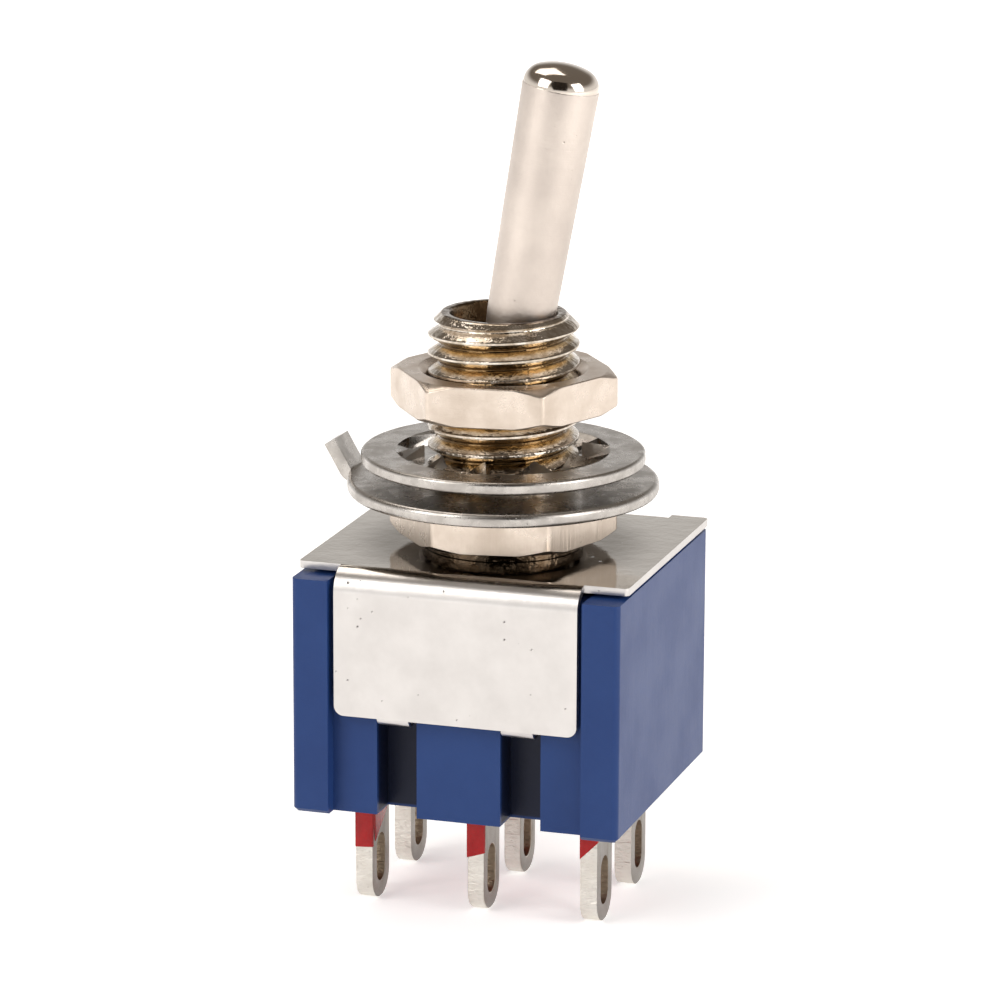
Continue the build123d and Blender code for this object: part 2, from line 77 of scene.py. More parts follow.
MM = 0.001
MM_PER_METRE = 1000.0
WELD = 1e-6                 # doubles closer than this are one vertex
NEAR = 0.01 * MM            # places closer than this count as the same
FLAT = math.radians(0.6)    # faces closer to flat than this are merged
AXIS_STEPS = 144            # faces round a turned piece
NUT_CORNERS = 4.3 * MM      # a nut's corners lie further out than this
JOINTS = {joint["name"]: joint for joint in frame["joints"]}
PIVOT = Vector(JOINTS["toggle"]["pos_m"])
LEAN = math.radians(-JOINTS["toggle"]["range_deg"][0] / 2)


# ---------------------------------------------------------------- settings

def length(name, description, default_mm):
    """A length setting, given in millimetres and stored in metres."""
    return FloatProperty(
        name=name, description=description, default=default_mm * MM,
        min=0.0, precision=5, unit="LENGTH", subtype="DISTANCE",
    )


def colour(name, description, default):
    """A linear colour setting."""
    return FloatVectorProperty(
        name=name, description=description, default=default,
        min=0.0, max=1.0, size=3, subtype="COLOR",
    )


def angle(name, description, default_degrees):
    """An angle setting, given in degrees and stored in radians."""
    return FloatProperty(
        name=name, description=description, default=math.radians(default_degrees),
        subtype="ANGLE", unit="ROTATION",
    )


def number(name, description, default):
    """A plain number that is not negative."""
    return FloatProperty(name=name, description=description, default=default, min=0.0)


def factor(name, description, default):
    """A setting from 0 to 1."""
    return FloatProperty(
        name=name, description=description, default=default, min=0.0, max=1.0, subtype="FACTOR",
    )


class BushingSettings(bpy.types.PropertyGroup):
    """Sizes and finish of the threaded bushing."""

    thread_radius: length("Thread radius", "Outside radius of the thread", 3.0)
    thread_pitch: length("Pitch", "Rise of the thread in one turn", 0.75)
    thread_depth: length("Thread depth", "From the crest down to the root", 0.4575)
    crest_width: length("Crest width", "Width of the land on each crest", 0.125)
    crest_round: length("Crest rounding", "How far the crest's corners are worn", 0.026)
    thread_drop: length("Thread drop", "How far under the frame's top the helix starts", 0.19)
    shoulder_radius: length("Shoulder radius", "Radius of the shoulder on the frame", 3.2)
    mouth_radius: length("Mouth radius", "Radius of the bore where the lever comes out", 2.12)
    plating: colour("Plating", "Nickel on the crests", (0.68, 0.62, 0.55))
    # painted golden reflection of the nut and washers, and painted shade, down in the thread
    painted_root_reflection: colour("Root tint", "Brass tone that shows down in the thread", (0.58, 0.44, 0.26))
    # painted shade at the very bottom of the thread
    painted_root_shade: colour("Bottom tint", "Dark tone at the very bottom of the thread", (0.15, 0.095, 0.045))
    roughness: factor("Roughness", "Roughness of the bright thread", 0.08)


class LeverSettings(bpy.types.PropertyGroup):
    """Sizes and finish of the lever."""

    tip_radius: length("Tip radius", "Radius just under the crown", 1.52)
    neck_radius: length("Neck radius", "Radius just above the ball", 1.16)
    reach: length("Reach", "From the pivot to the top of the crown", 14.39)
    crown_height: length("Crown height", "Height of the rounded tip", 0.88)
    crown_edge: length("Crown edge radius", "Radius that leads into the crown", 0.75)
    crown_step: length("Crown step", "Ledge between the ground side and the polished crown", 0.015)
    ball_radius: length("Ball radius", "Radius of the ball that seats in the bushing", 1.88)
    plating: colour("Plating", "Colour of the satin nickel", (0.675, 0.60, 0.54))
    shade: colour("Shade", "Its darker clouding", (0.55, 0.485, 0.44))
    crown: colour("Crown", "Colour of the polished crown", (0.66, 0.59, 0.52))
    satin: factor("Satin roughness", "Roughness of the side", 0.38)
    polish: factor("Crown roughness", "Roughness of the polished crown", 0.12)


class NutSettings(bpy.types.PropertyGroup):
    """Finish of the two nuts."""

    edge: length("Edge", "Width of the broken edges", 0.05)
    corner: length("Corner", "Width worn off the six corners", 0.2)
    plating: colour("Plating", "Colour of the nickel", (0.72, 0.63, 0.55))
    shade: colour("Shade", "Its darker clouding", (0.58, 0.49, 0.41))
    roughness: factor("Roughness", "Roughness of the flats", 0.3)


class WasherSettings(bpy.types.PropertyGroup):
    """Finish of the tooth washer and the locating ring."""

    edge: length("Edge", "Width of the broken edges", 0.05)
    plating: colour("Plating", "Colour of the plated steel", (0.55, 0.52, 0.49))
    shade: colour("Shade", "Its darker clouding", (0.38, 0.355, 0.33))
    roughness: factor("Roughness", "Roughness of the stamped faces", 0.26)


class SheetSettings(bpy.types.PropertyGroup):
    """Finish of the folded frame."""

    edge: length("Edge", "Die roll along the sheet's edges", 0.045)
    plating: colour("Plating", "Colour of the satin nickel on the tabs", (0.69, 0.665, 0.65))
    shade: colour("Shade", "Its darker clouding", (0.60, 0.575, 0.56))
    mirror: colour("Mirror", "Colour of the bright nickel on the plate", (0.54, 0.505, 0.46))
    plate_roughness: factor("Plate roughness", "Roughness of the bright top", 0.07)
    tab_roughness: factor("Tab roughness", "Roughness of the satin tabs", 0.27)


class CaseSettings(bpy.types.PropertyGroup):
    """Finish of the moulded case."""

    edge: length("Edge", "Rounding of the moulded edges", 0.07)
    plastic: colour("Plastic", "Colour of the moulding", (0.021, 0.058, 0.205))
    shade: colour("Shade", "Its slightly darker clouding", (0.017, 0.047, 0.175))
    roughness: factor("Roughness", "Roughness of the moulded faces", 0.36)


class TerminalSettings(bpy.types.PropertyGroup):
    """Finish of the six terminals."""

    edge: length("Edge", "Rounding of the punched edges", 0.07)
    silver: colour("Silver", "Colour of the silvered metal", (0.74, 0.71, 0.66))
    tarnish: colour("Tarnish", "Its brownish clouding", (0.42, 0.36, 0.29))
    # painted shade on the broad faces
    side: colour("Side", "Dull tone of the broad faces", (0.17, 0.15, 0.13))
    # brassy tone of the eyelets' walls, darkened with painted shade
    eyelet: colour("Eyelet", "Brassy tone of the eyelets' walls", (0.24, 0.17, 0.10))
    roughness: factor("Roughness", "Roughness of the silvered faces", 0.3)


class ResinSettings(bpy.types.PropertyGroup):
    """Sizes and finish of the sealing resin."""

    spread: length("Spread", "How far each skirt spreads where it leaves the recess", 0.17)
    film: length("Film", "Thickness of the film at a skirt's lower rim", 0.045)
    rings: IntProperty(name="Rings", description="Rings down each skirt", default=7, min=3, max=20)
    resin: colour("Resin", "Colour of the resin", (0.55, 0.004, 0.006))
    shade: colour("Shade", "Its darker clouding", (0.36, 0.002, 0.004))
    roughness: factor("Roughness", "Roughness of the gloss", 0.12)


class StageSettings(bpy.types.PropertyGroup):
    """Camera, floor and light."""

    camera_turn: angle("Camera turn", "Angle of the camera round the bushing's axis from the front", 17.718)
    camera_lift: angle("Camera lift", "Angle of the camera above the horizon", 14.555)
    camera_roll: angle("Camera roll", "Turn of the camera about its own line of sight", 0.214)
    camera_distance: length("Camera distance", "From the camera to the point that it looks at", 201.92)
    focal_length: number("Focal length", "Focal length of the lens, in millimetres", 182.65)
    floor_radius: length("Floor radius", "Radius of the round floor", 1500.0)
    floor_white: factor("Floor white", "Whiteness of the floor", 0.9)
    world_strength: number("Wall light", "Strength of the white walls round the stage", 1.0)
    lamp_strength: number("Lamp brightness", "Brightness of each softbox's face; 1 is white", 4.0)


SETTINGS = {
    "bushing_settings": BushingSettings,
    "lever_settings": LeverSettings,
    "nut_settings": NutSettings,
    "washer_settings": WasherSettings,
    "sheet_settings": SheetSettings,
    "case_settings": CaseSettings,
    "terminal_settings": TerminalSettings,
    "resin_settings": ResinSettings,
    "stage_settings": StageSettings,
}


# ---------------------------------------------------------------- modelling

def select_only(piece):
    """Make one piece the only selected one, and the active one."""
    bpy.ops.object.select_all(action="DESELECT")
    piece.select_set(True)
    bpy.context.view_layer.objects.active = piece


def edit(piece, pick="SELECT"):
    """Go into edit mode on a piece with its whole mesh selected, or with DESELECT none of it."""
    select_only(piece)
    bpy.ops.object.mode_set(mode="EDIT")
    bpy.ops.mesh.select_mode(type="VERT")
    bpy.ops.mesh.select_all(action=pick)


def edit_faces(piece, wanted):
    """Go into edit mode with the faces selected for which wanted(face) is true."""
    edit(piece, "DESELECT")
    bpy.ops.mesh.select_mode(type="FACE")
    bpy.ops.object.mode_set(mode="OBJECT")
    for face in piece.data.polygons:
        face.select = wanted(face)
    bpy.ops.object.mode_set(mode="EDIT")


def edit_edges(piece, wanted):
    """Go into edit mode with the edges selected for which wanted(first, second) is true of their ends."""
    edit(piece, "DESELECT")
    bpy.ops.mesh.select_mode(type="EDGE")
    bpy.ops.object.mode_set(mode="OBJECT")
    points = piece.data.vertices
    for line in piece.data.edges:
        line.select = wanted(points[line.vertices[0]].co, points[line.vertices[1]].co)
    bpy.ops.object.mode_set(mode="EDIT")


def done():
    """Leave edit mode."""
    bpy.ops.object.mode_set(mode="OBJECT")


def weld():
    """Merge the doubles of the mesh in edit mode and turn its faces outwards."""
    bpy.ops.mesh.select_all(action="SELECT")
    bpy.ops.mesh.remove_doubles(threshold=WELD)
    bpy.ops.mesh.normals_make_consistent(inside=False)


def settle(piece):
    """Put a piece's place, turn and scale into its mesh."""
    select_only(piece)
    bpy.ops.object.transform_apply(location=True, rotation=True, scale=True)


def finish_with(piece, kind, **values):
    """Add a modifier with these values and apply it."""
    select_only(piece)
    modifier = piece.modifiers.new(kind.title(), kind)
    for key, value in values.items():
        setattr(modifier, key, value)
    bpy.ops.object.modifier_apply(modifier=modifier.name)


def combine(piece, tool, operation):
    """Join, cut or keep the common part of a piece and a tool, which is used up."""
    finish_with(piece, "BOOLEAN", object=tool, operation=operation, solver="EXACT")
    bpy.data.objects.remove(tool)


def smooth(piece, sharp_degrees):
    """Smooth shading, with edges over this angle kept sharp."""
    select_only(piece)
    bpy.ops.object.shade_smooth_by_angle(angle=math.radians(sharp_degrees))


def draw(name, points):
    """A line drawn point by point in the XZ plane, from (radius, height) pairs in metres."""
    bpy.ops.mesh.primitive_plane_add(size=MM, location=(0, 0, 0))
    line = bpy.context.object
    line.name = name
    edit(line)
    bpy.ops.mesh.merge(type="CENTER")
    bpy.ops.transform.translate(value=(points[0][0], 0, points[0][1]))
    for (r0, z0), (r1, z1) in zip(points, points[1:]):
        bpy.ops.mesh.extrude_vertices_move(TRANSFORM_OT_translate={"value": (r1 - r0, 0, z1 - z0)})
    done()
    return line


def turn(name, points):
    """A solid turned about Z from a line of (radius, height) pairs that starts and ends on the axis."""
    piece = draw(name, points)
    edit(piece)
    bpy.ops.mesh.spin(steps=AXIS_STEPS, angle=math.tau, center=(0, 0, 0), axis=(0, 0, 1))
    weld()
    done()
    return piece


def level(first, second):
    """Whether two points lie at one height."""
    return abs(first.z - second.z) < NEAR


def block(name, low, high):
    """A box between two corners, as a tool to cut or join with."""
    low, high = Vector(low), Vector(high)
    bpy.ops.mesh.primitive_cube_add(size=1, location=(low + high) / 2, scale=high - low)
    piece = bpy.context.object
    piece.name = name
    settle(piece)
    return piece


def arc(centre, radius, start, end, steps):
    """Points on an arc in the XZ plane, with angles in radians from +X."""
    return [
        (centre[0] + radius * math.cos(start + (end - start) * i / steps),
         centre[1] + radius * math.sin(start + (end - start) * i / steps))
        for i in range(steps + 1)
    ]


def millimetres(points):
    """Drawing points in millimetres, in metres."""
    return [(r * MM, z * MM) for r, z in points]


def from_frame(node, edge, rim=None, corner=None, merge_facets=True):
    """A finished copy of a CAD node: welded, with its facets merged and its sharp edges broken.

    A rim is the radius of a round edge, how far it is rounded before the other edges, and
    half the width of the tab that it passes on the -X side.
    A corner is how far the upright corners of a nut are worn before the other edges.
    """
    piece = bpy.data.objects.new(node + "_finished", frame["nodes"][node].data.copy())
    bpy.context.scene.collection.objects.link(piece)
    piece.data.materials.clear()
    select_only(piece)
    bpy.ops.mesh.customdata_custom_splitnormals_clear()
    edit(piece)
    bpy.ops.mesh.remove_doubles(threshold=2 * WELD)
    if merge_facets:
        bpy.ops.mesh.dissolve_limited(angle_limit=FLAT)
    done()
    if rim:
        radius, rounding, tab = rim
        edit_edges(piece, lambda a, b: level(a, b) and all(
            abs(point.xy.length - radius) < NEAR and not (point.x < 0 and abs(point.y) < tab)
            for point in (a, b)))
        bpy.ops.mesh.bevel(offset=rounding, segments=5, affect="EDGES", clamp_overlap=False)
        done()
    if corner:
        edit_edges(piece, lambda a, b: min(a.xy.length, b.xy.length) > NUT_CORNERS
                   and (a.xy - b.xy).length < NEAR and abs(a.z - b.z) > 0.2 * MM)
        bpy.ops.mesh.bevel(offset=corner, segments=2, affect="EDGES", clamp_overlap=True)
        done()
    finish_with(
        piece, "BEVEL", width=edge, segments=3, limit_method="ANGLE", angle_limit=math.radians(34),
        use_clamp_overlap=True, harden_normals=False, miter_outer="MITER_ARC",
    )
    smooth(piece, 40.0)
    finish_with(piece, "WEIGHTED_NORMAL", keep_sharp=True, weight=80)
    return piece


def clad(piece, material):
    """Give a piece its one material."""
    piece.data.materials.clear()
    piece.data.materials.append(material)


def ship(piece, material, body, node):
    """Hand a finished piece over: its material, the body it rides on and its CAD node."""
    clad(piece, material)
    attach(piece, body)
    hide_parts(node)


# ---------------------------------------------------------------- node helpers

def plug(tree, socket, term):
    """Give a socket a number, a vector, a colour or a link from an output."""
    if isinstance(term, bpy.types.NodeSocket):
        tree.links.new(term, socket)
    elif socket.type == "RGBA":
        socket.default_value = (*term[:3], 1.0)
    else:
        socket.default_value = term


def add(tree, kind, terms=None, **settings):
    """Add a node with its own settings and a term for each of its named or numbered sockets."""
    made = tree.nodes.new(kind)
    for key, value in settings.items():
        setattr(made, key, value)
    for key, term in (terms or {}).items():
        plug(tree, made.inputs[key], term)
    return made


def calc(tree, operation, *terms):
    """A Math node's output."""
    return add(tree, "ShaderNodeMath", dict(enumerate(terms)), operation=operation).outputs[0]


def times(tree, first, *others):
    """The product of two or more numbers."""
    for other in others:
        first = calc(tree, "MULTIPLY", first, other)
    return first


def combined(tree, operation, first, second):
    """A Vector Math node's outputs."""
    return add(tree, "ShaderNodeVectorMath", {0: first, 1: second}, operation=operation).outputs


def axes(tree, place):
    """The three parts of a vector."""
    return add(tree, "ShaderNodeSeparateXYZ", {0: place}).outputs


def ramp(tree, value, low, high, to_low=0.0, to_high=1.0, kind="SMOOTHSTEP"):
    """A value carried from one range to another, held at the ends."""
    terms = {0: value, 1: low, 2: high, 3: to_low, 4: to_high}
    return add(tree, "ShaderNodeMapRange", terms, interpolation_type=kind).outputs[0]


def blend(tree, share, first, second, mode="MIX"):
    """Two colours mixed."""
    terms = {0: share, 6: first, 7: second}
    return add(tree, "ShaderNodeMix", terms, data_type="RGBA", blend_type=mode).outputs[2]


def toward(tree, share, first, second):
    """A number carried by a share from the first value to the second."""
    return add(tree, "ShaderNodeMix", {0: share, 2: first, 3: second}, data_type="FLOAT").outputs[0]


def bump(tree, height, depth_mm, strength, normal=None):
    """A Bump node's normal. Height runs from 0 to 1 over this depth."""
    terms = {"Height": height, "Distance": depth_mm * MM, "Strength": strength}
    if normal is not None:
        terms["Normal"] = normal
    return add(tree, "ShaderNodeBump", terms).outputs[0]


def effect(name, inputs, outputs):
    """A new node group with its named sockets. Returns the group, its incoming and its outgoing sockets."""
    group = bpy.data.node_groups.new(name, "ShaderNodeTree")
    for title, kind, default in inputs:
        socket = group.interface.new_socket(name=title, in_out="INPUT", socket_type=kind)
        socket.default_value = default
    for title, kind in outputs:
        group.interface.new_socket(name=title, in_out="OUTPUT", socket_type=kind)
    return group, add(group, "NodeGroupInput").outputs, add(group, "NodeGroupOutput").inputs


# Kinds of socket
VECTOR = "NodeSocketVector"
NUMBER = "NodeSocketFloat"
COLOUR = "NodeSocketColor"


def build_clouding():
    """Two tones in soft clouds, and the share of the dark one."""
    group, given, out = effect(
        "clouding",
        [("Vector", VECTOR, (0, 0, 0)), ("Scale", NUMBER, 0.4), ("Contrast", NUMBER, 0.5),
         ("Light", COLOUR, (0.8, 0.8, 0.8, 1)), ("Dark", COLOUR, (0.5, 0.5, 0.5, 1))],
        [("Colour", COLOUR), ("Share", NUMBER)],
    )
    broad = add(group, "ShaderNodeTexNoise", {
        "Detail": 4.0, "Roughness": 0.6, "Vector": given["Vector"], "Scale": given["Scale"],
    })
    half = times(group, calc(group, "SUBTRACT", 1.0, given["Contrast"]), 0.3)
    low, high = calc(group, "SUBTRACT", 0.42, half), calc(group, "ADD", 0.58, half)
    share = ramp(group, broad.outputs[0], low, high)
    group.links.new(blend(group, share, given["Light"], given["Dark"]), out["Colour"])
    group.links.new(share, out["Share"])
    return group


def build_pinholes():
    """Scattered small pits: 1 at the bottom of a pit, 0 on the face."""
    group, given, out = effect(
        "pinholes",
        [("Vector", VECTOR, (0, 0, 0)), ("Per Millimetre", NUMBER, 2.0), ("Share", NUMBER, 0.2),
         ("Radius", NUMBER, 0.1)],
        [("Mask", NUMBER)],
    )
    cells = add(group, "ShaderNodeTexVoronoi", {"Vector": given["Vector"], "Scale": given["Per Millimetre"]})
    chance = add(group, "ShaderNodeSeparateColor", {"Color": cells.outputs["Color"]}).outputs
    picked = calc(group, "LESS_THAN", chance[0], given["Share"])
    size = times(group, given["Radius"], ramp(group, chance[1], 0, 1, 0.35, 1.0, "LINEAR"))
    depth = ramp(group, cells.outputs["Distance"], 0.0, size, 1.0, 0.0)
    group.links.new(times(group, picked, depth), out["Mask"])
    return group


def build_grain():
    """Fine blasted or moulded grain as a height from 0 to 1."""
    group, given, out = effect(
        "grain",
        [("Vector", VECTOR, (0, 0, 0)), ("Per Millimetre", NUMBER, 12.0), ("Stretch", VECTOR, (1, 1, 1))],
        [("Height", NUMBER)],
    )
    stretched = combined(group, "MULTIPLY", given["Vector"], given["Stretch"])[0]
    fine = add(group, "ShaderNodeTexNoise", {
        "Detail": 3.0, "Roughness": 0.65, "Vector": stretched, "Scale": given["Per Millimetre"],
    })
    group.links.new(ramp(group, fine.outputs[0], 0.25, 0.75, kind="LINEAR"), out["Height"])
    return group


def build_turning_marks():
    """Fine rings left by the lathe tool about Z, as a height from 0 to 1, with the radius and the place on Z."""
    group, given, out = effect(
        "turning_marks",
        [("Vector", VECTOR, (0, 0, 0)), ("Per Millimetre", NUMBER, 10.0)],
        [("Height", NUMBER), ("Radius", NUMBER), ("Along", NUMBER)],
    )
    x, y, along = axes(group, given["Vector"])
    squares = (calc(group, "POWER", side, 2.0) for side in (x, y))
    radius = calc(group, "SQRT", calc(group, "ADD", *squares))
    place = add(group, "ShaderNodeCombineXYZ", {0: radius, 2: along}).outputs[0]
    drift = combined(group, "MULTIPLY", given["Vector"], (0.012, 0.012, 0.0))[0]
    lines = add(group, "ShaderNodeTexNoise", {
        "Detail": 2.0, "Roughness": 0.7, "Vector": combined(group, "ADD", place, drift)[0],
        "Scale": given["Per Millimetre"],
    })
    group.links.new(ramp(group, lines.outputs[0], 0.25, 0.75, kind="LINEAR"), out["Height"])
    group.links.new(radius, out["Radius"])
    group.links.new(along, out["Along"])
    return group


EFFECTS = {
    "clouding": build_clouding,
    "pinholes": build_pinholes,
    "grain": build_grain,
    "turning_marks": build_turning_marks,
}


def use(tree, name, terms):
    """The outputs of a shared effect placed in a material. The first use builds it."""
    group = bpy.data.node_groups.get(name) or EFFECTS[name]()
    return add(tree, "ShaderNodeGroup", terms, node_tree=group).outputs


def new_finish(name, turned=(0, 0, 0), shift=(0, 0, 0)):
    """A material with its shader, and Object coordinates in millimetres, turned and shifted if asked."""
    material = bpy.data.materials.new(name)
    material.use_nodes = True
    tree = material.node_tree
    tree.nodes.clear()
    shader = add(tree, "ShaderNodeBsdfPrincipled")
    add(tree, "ShaderNodeOutputMaterial", {"Surface": shader.outputs[0]})
    mapped = add(tree, "ShaderNodeMapping", {
        "Vector": add(tree, "ShaderNodeTexCoord").outputs["Object"],
        "Location": shift, "Rotation": turned, "Scale": (MM_PER_METRE,) * 3,
    })
    return material, tree, shader.inputs, mapped.outputs[0]


def facing(tree, axis):
    """How far the surface faces along one of the piece's own axes, from -1 to 1."""
    normal = add(tree, "ShaderNodeTexCoord").outputs["Normal"]
    return combined(tree, "DOT_PRODUCT", normal, axis)["Value"]


def clouding(tree, place, scale, contrast, light, dark):
    """Two tones in soft clouds: their colour, and the share of the dark one."""
    terms = {"Vector": place, "Scale": scale, "Contrast": contrast, "Light": light, "Dark": dark}
    made = use(tree, "clouding", terms)
    return made["Colour"], made["Share"]


def grain(tree, place, per_mm, stretch=(1, 1, 1)):
    """Grain of this fineness, stretched along each axis, as a height from 0 to 1."""
    return use(tree, "grain", {"Vector": place, "Per Millimetre": per_mm, "Stretch": stretch})["Height"]


def turning(tree, place, per_mm=10.0):
    """Lathe rings of this fineness: their height, the radius and the place along Z."""
    return use(tree, "turning_marks", {"Vector": place, "Per Millimetre": per_mm}).values()


def speckle(tree, place, colour, tone, strength, per_mm, share, radius):
    """A colour with scattered pits of another tone, and the pits' mask."""
    mask = use(tree, "pinholes", {
        "Vector": place, "Per Millimetre": per_mm, "Share": share, "Radius": radius,
    })["Mask"]
    return blend(tree, times(tree, mask, strength), colour, tone), mask


def pitted(tree, mask, depth_mm, strength, normal):
    """A normal with the pits sunk into it."""
    return bump(tree, calc(tree, "SUBTRACT", 1.0, mask), depth_mm, strength, normal)


def dress(tree, shader, colour, roughness, normal=None, metallic=1.0, specular=None):
    """Plug in the look of the surface."""
    terms = {
        "Base Color": colour, "Roughness": roughness, "Normal": normal,
        "Metallic": metallic, "Specular IOR Level": specular,
    }
    for key, term in terms.items():
        if term is not None:
            plug(tree, shader[key], term)


# ---------------------------------------------------------------- finishes

# Where a finish or a painted shade changes, from and to, in millimetres of the shared frame
LEAD = (8.45, 8.6)                  # start of the thread's plain lead, along Z
THREAD_FOOT = (0.45, 0.75)          # painted shade on the neck under the thread, along Z
NUT_SHADE_AND_REFLECTION = (4.2, 6.6)              # painted shade and reflection of the nut and washers on the plate round the lower nut, from the axis
GROOVE_FLOOR = (5.3, 5.62)          # floor of the case's grooves, where their painted shade stops, along Y
GROOVE_SIDE = (5.2, 5.3)            # outer wall of the case's grooves, where their painted shade stops, along X
CASE_FOOT = (-9.98, -9.85)          # bottom edge of the case, where the grooves' painted shade stops, along Z
POLE_Y = 2.4                        # middle of each row of lugs, along Y
EYELET_SIDE = (0.55, 0.7)           # past an eyelet's wall, from the lug's middle, where the painted shade on the wall stops
EYELET_FOOT = (-14.35, -14.2)       # under the eyelets, along Z, where the painted shade on their walls stops


def lever_finish(settings):
    """Satin nickel with faint turning rings and small pits, and a polished crown."""
    pivot = PIVOT.z * MM_PER_METRE
    lean_shift = (pivot * math.sin(LEAN), 0, -pivot * math.cos(LEAN))
    material, tree, shader, place = new_finish("satin_nickel_lever", (0, -LEAN, 0), lean_shift)
    crown_start = (settings.reach - settings.crown_height) * MM_PER_METRE
    rings, _, along = turning(tree, place, 9.0)
    crown = ramp(tree, along, crown_start - 0.01, crown_start + 0.02, kind="LINEAR")
    side = calc(tree, "SUBTRACT", 1.0, crown)
    clouds, share = clouding(tree, place, 0.35, 0.3, settings.plating, settings.shade)
    specked, pits = speckle(tree, place, clouds, (0.20, 0.16, 0.13), 0.55, 2.5, 0.16, 0.15)
    colour = blend(tree, times(tree, crown, 0.85), specked, settings.crown)
    satin = calc(tree, "ADD", settings.satin, times(tree, share, 0.05))
    lines = bump(tree, times(tree, rings, side), 0.004, 0.6)
    fine = bump(tree, times(tree, grain(tree, place, 4.0), side), 0.012, 0.5, lines)
    roughness = toward(tree, crown, satin, settings.polish)
    dress(tree, shader, colour, roughness, pitted(tree, pits, 0.03, 0.8, fine))
    return material


def thread_finish(settings):
    """Bright nickel on brass, with painted golden reflection and painted shade down in the thread, painted shade on
    the neck under it and in the bore, and tool marks and wear on the crests.
    """
    material, tree, shader, place = new_finish("nickel_on_brass_thread")
    rings, radius, along = turning(tree, place, 16.0)
    crest = settings.thread_radius * MM_PER_METRE
    root = crest - settings.thread_depth * MM_PER_METRE
    depth = ramp(tree, radius, crest - 0.34, crest - 0.12)
    bottom = ramp(tree, radius, root - 0.01, root + 0.10)
    outside = ramp(tree, radius, root - 0.12, root - 0.04)
    # painted golden reflection and painted shade down the thread, darkest at its root
    warm = blend(tree, depth, settings.painted_root_reflection, settings.plating)
    root_shaded = blend(tree, bottom, settings.painted_root_shade, warm)
    lead = blend(tree, ramp(tree, along, *LEAD), root_shaded, settings.plating)
    # painted shade on the neck under the nut
    neck_shaded = blend(tree, ramp(tree, along, *THREAD_FOOT), (0.16, 0.12, 0.085), lead)
    # painted shade inside the bore
    bore = blend(tree, outside, (0.16, 0.11, 0.065), neck_shaded)
    clouds, share = clouding(tree, place, 1.5, 0.8, (1, 1, 1), (0.60, 0.54, 0.46))
    mottled = blend(tree, 0.85, bore, clouds, "MULTIPLY")
    colour, pits = speckle(tree, place, mottled, (0.12, 0.08, 0.05), 0.5, 2.4, 0.16, 0.13)
    roughness = ramp(tree, share, 0, 1, settings.roughness, settings.roughness + 0.09)
    lines = bump(tree, rings, 0.004, 0.35)
    dents = bump(tree, grain(tree, place, 1.8), 0.05, 0.6, lines)
    dress(tree, shader, colour, roughness, pitted(tree, pits, 0.03, 0.7, dents))
    return material


def nut_finish(name, settings, stripes, per_mm, depth_mm):
    """Nickel flats with fine tool stripes, stretched by stripes along each axis, and small pits."""
    material, tree, shader, place = new_finish(name)
    clouds, share = clouding(tree, place, 0.7, 0.35, settings.plating, settings.shade)
    colour, pits = speckle(tree, place, clouds, (0.17, 0.13, 0.10), 0.6, 2.2, 0.22, 0.11)
    roughness = ramp(tree, share, 0, 1, settings.roughness - 0.05, settings.roughness + 0.08)
    upright = ramp(tree, calc(tree, "ABSOLUTE", facing(tree, (0, 0, 1))), 0.2, 0.5, 1.0, 0.0)
    lines = bump(tree, times(tree, grain(tree, place, per_mm, stripes), upright), depth_mm, 0.7)
    fine = bump(tree, grain(tree, place, 14.0), 0.006, 0.6, lines)
    dress(tree, shader, colour, roughness, pitted(tree, pits, 0.03, 0.8, fine))
    return material


def washer_finish(settings):
    """Plated spring steel: grey clouds, faint tumbling scratches and pits."""
    material, tree, shader, place = new_finish("plated_spring_steel")
    clouds, share = clouding(tree, place, 1.1, 0.55, settings.plating, settings.shade)
    colour, pits = speckle(tree, place, clouds, (0.13, 0.11, 0.09), 0.6, 2.6, 0.34, 0.14)
    roughness = ramp(tree, share, 0, 1, settings.roughness - 0.04, settings.roughness + 0.08)
    scratches = bump(tree, grain(tree, place, 9.0, (1.0, 0.12, 1.0)), 0.005, 0.4)
    fine = bump(tree, grain(tree, place, 16.0), 0.005, 0.5, scratches)
    dress(tree, shader, colour, roughness, pitted(tree, pits, 0.03, 0.8, fine))
    return material


def sheet_finish(settings):
    """Nickelled sheet: bright on the plate, satin on the tabs, with dark pinholes, a slight waviness and a painted
    dark reflection and shade round the lower nut.
    """
    material, tree, shader, place = new_finish("nickelled_sheet")
    up = ramp(tree, facing(tree, (0, 0, 1)), 0.80, 0.96)
    clouds, share = clouding(tree, place, 0.5, 0.2, settings.plating, settings.shade)
    _, radius, _ = turning(tree, place)
    # painted shade and reflection of the nut and washers on the plate round the bushing
    plate = blend(tree, ramp(tree, radius, *NUT_SHADE_AND_REFLECTION), (0.19, 0.165, 0.135), settings.mirror)
    bright = blend(tree, up, clouds, plate)
    colour, pits = speckle(tree, place, bright, (0.05, 0.04, 0.035), 0.85, 2.0, 0.34, 0.16)
    satin = calc(tree, "ADD", settings.tab_roughness, times(tree, share, 0.06))
    wave = bump(tree, grain(tree, place, 0.55), 0.02, 0.35)
    lines = bump(tree, grain(tree, place, 7.0, (1.0, 1.0, 0.25)), 0.003, 0.4, wave)
    roughness = toward(tree, up, satin, settings.plate_roughness)
    dress(tree, shader, colour, roughness, pitted(tree, pits, 0.04, 0.9, lines))
    return material


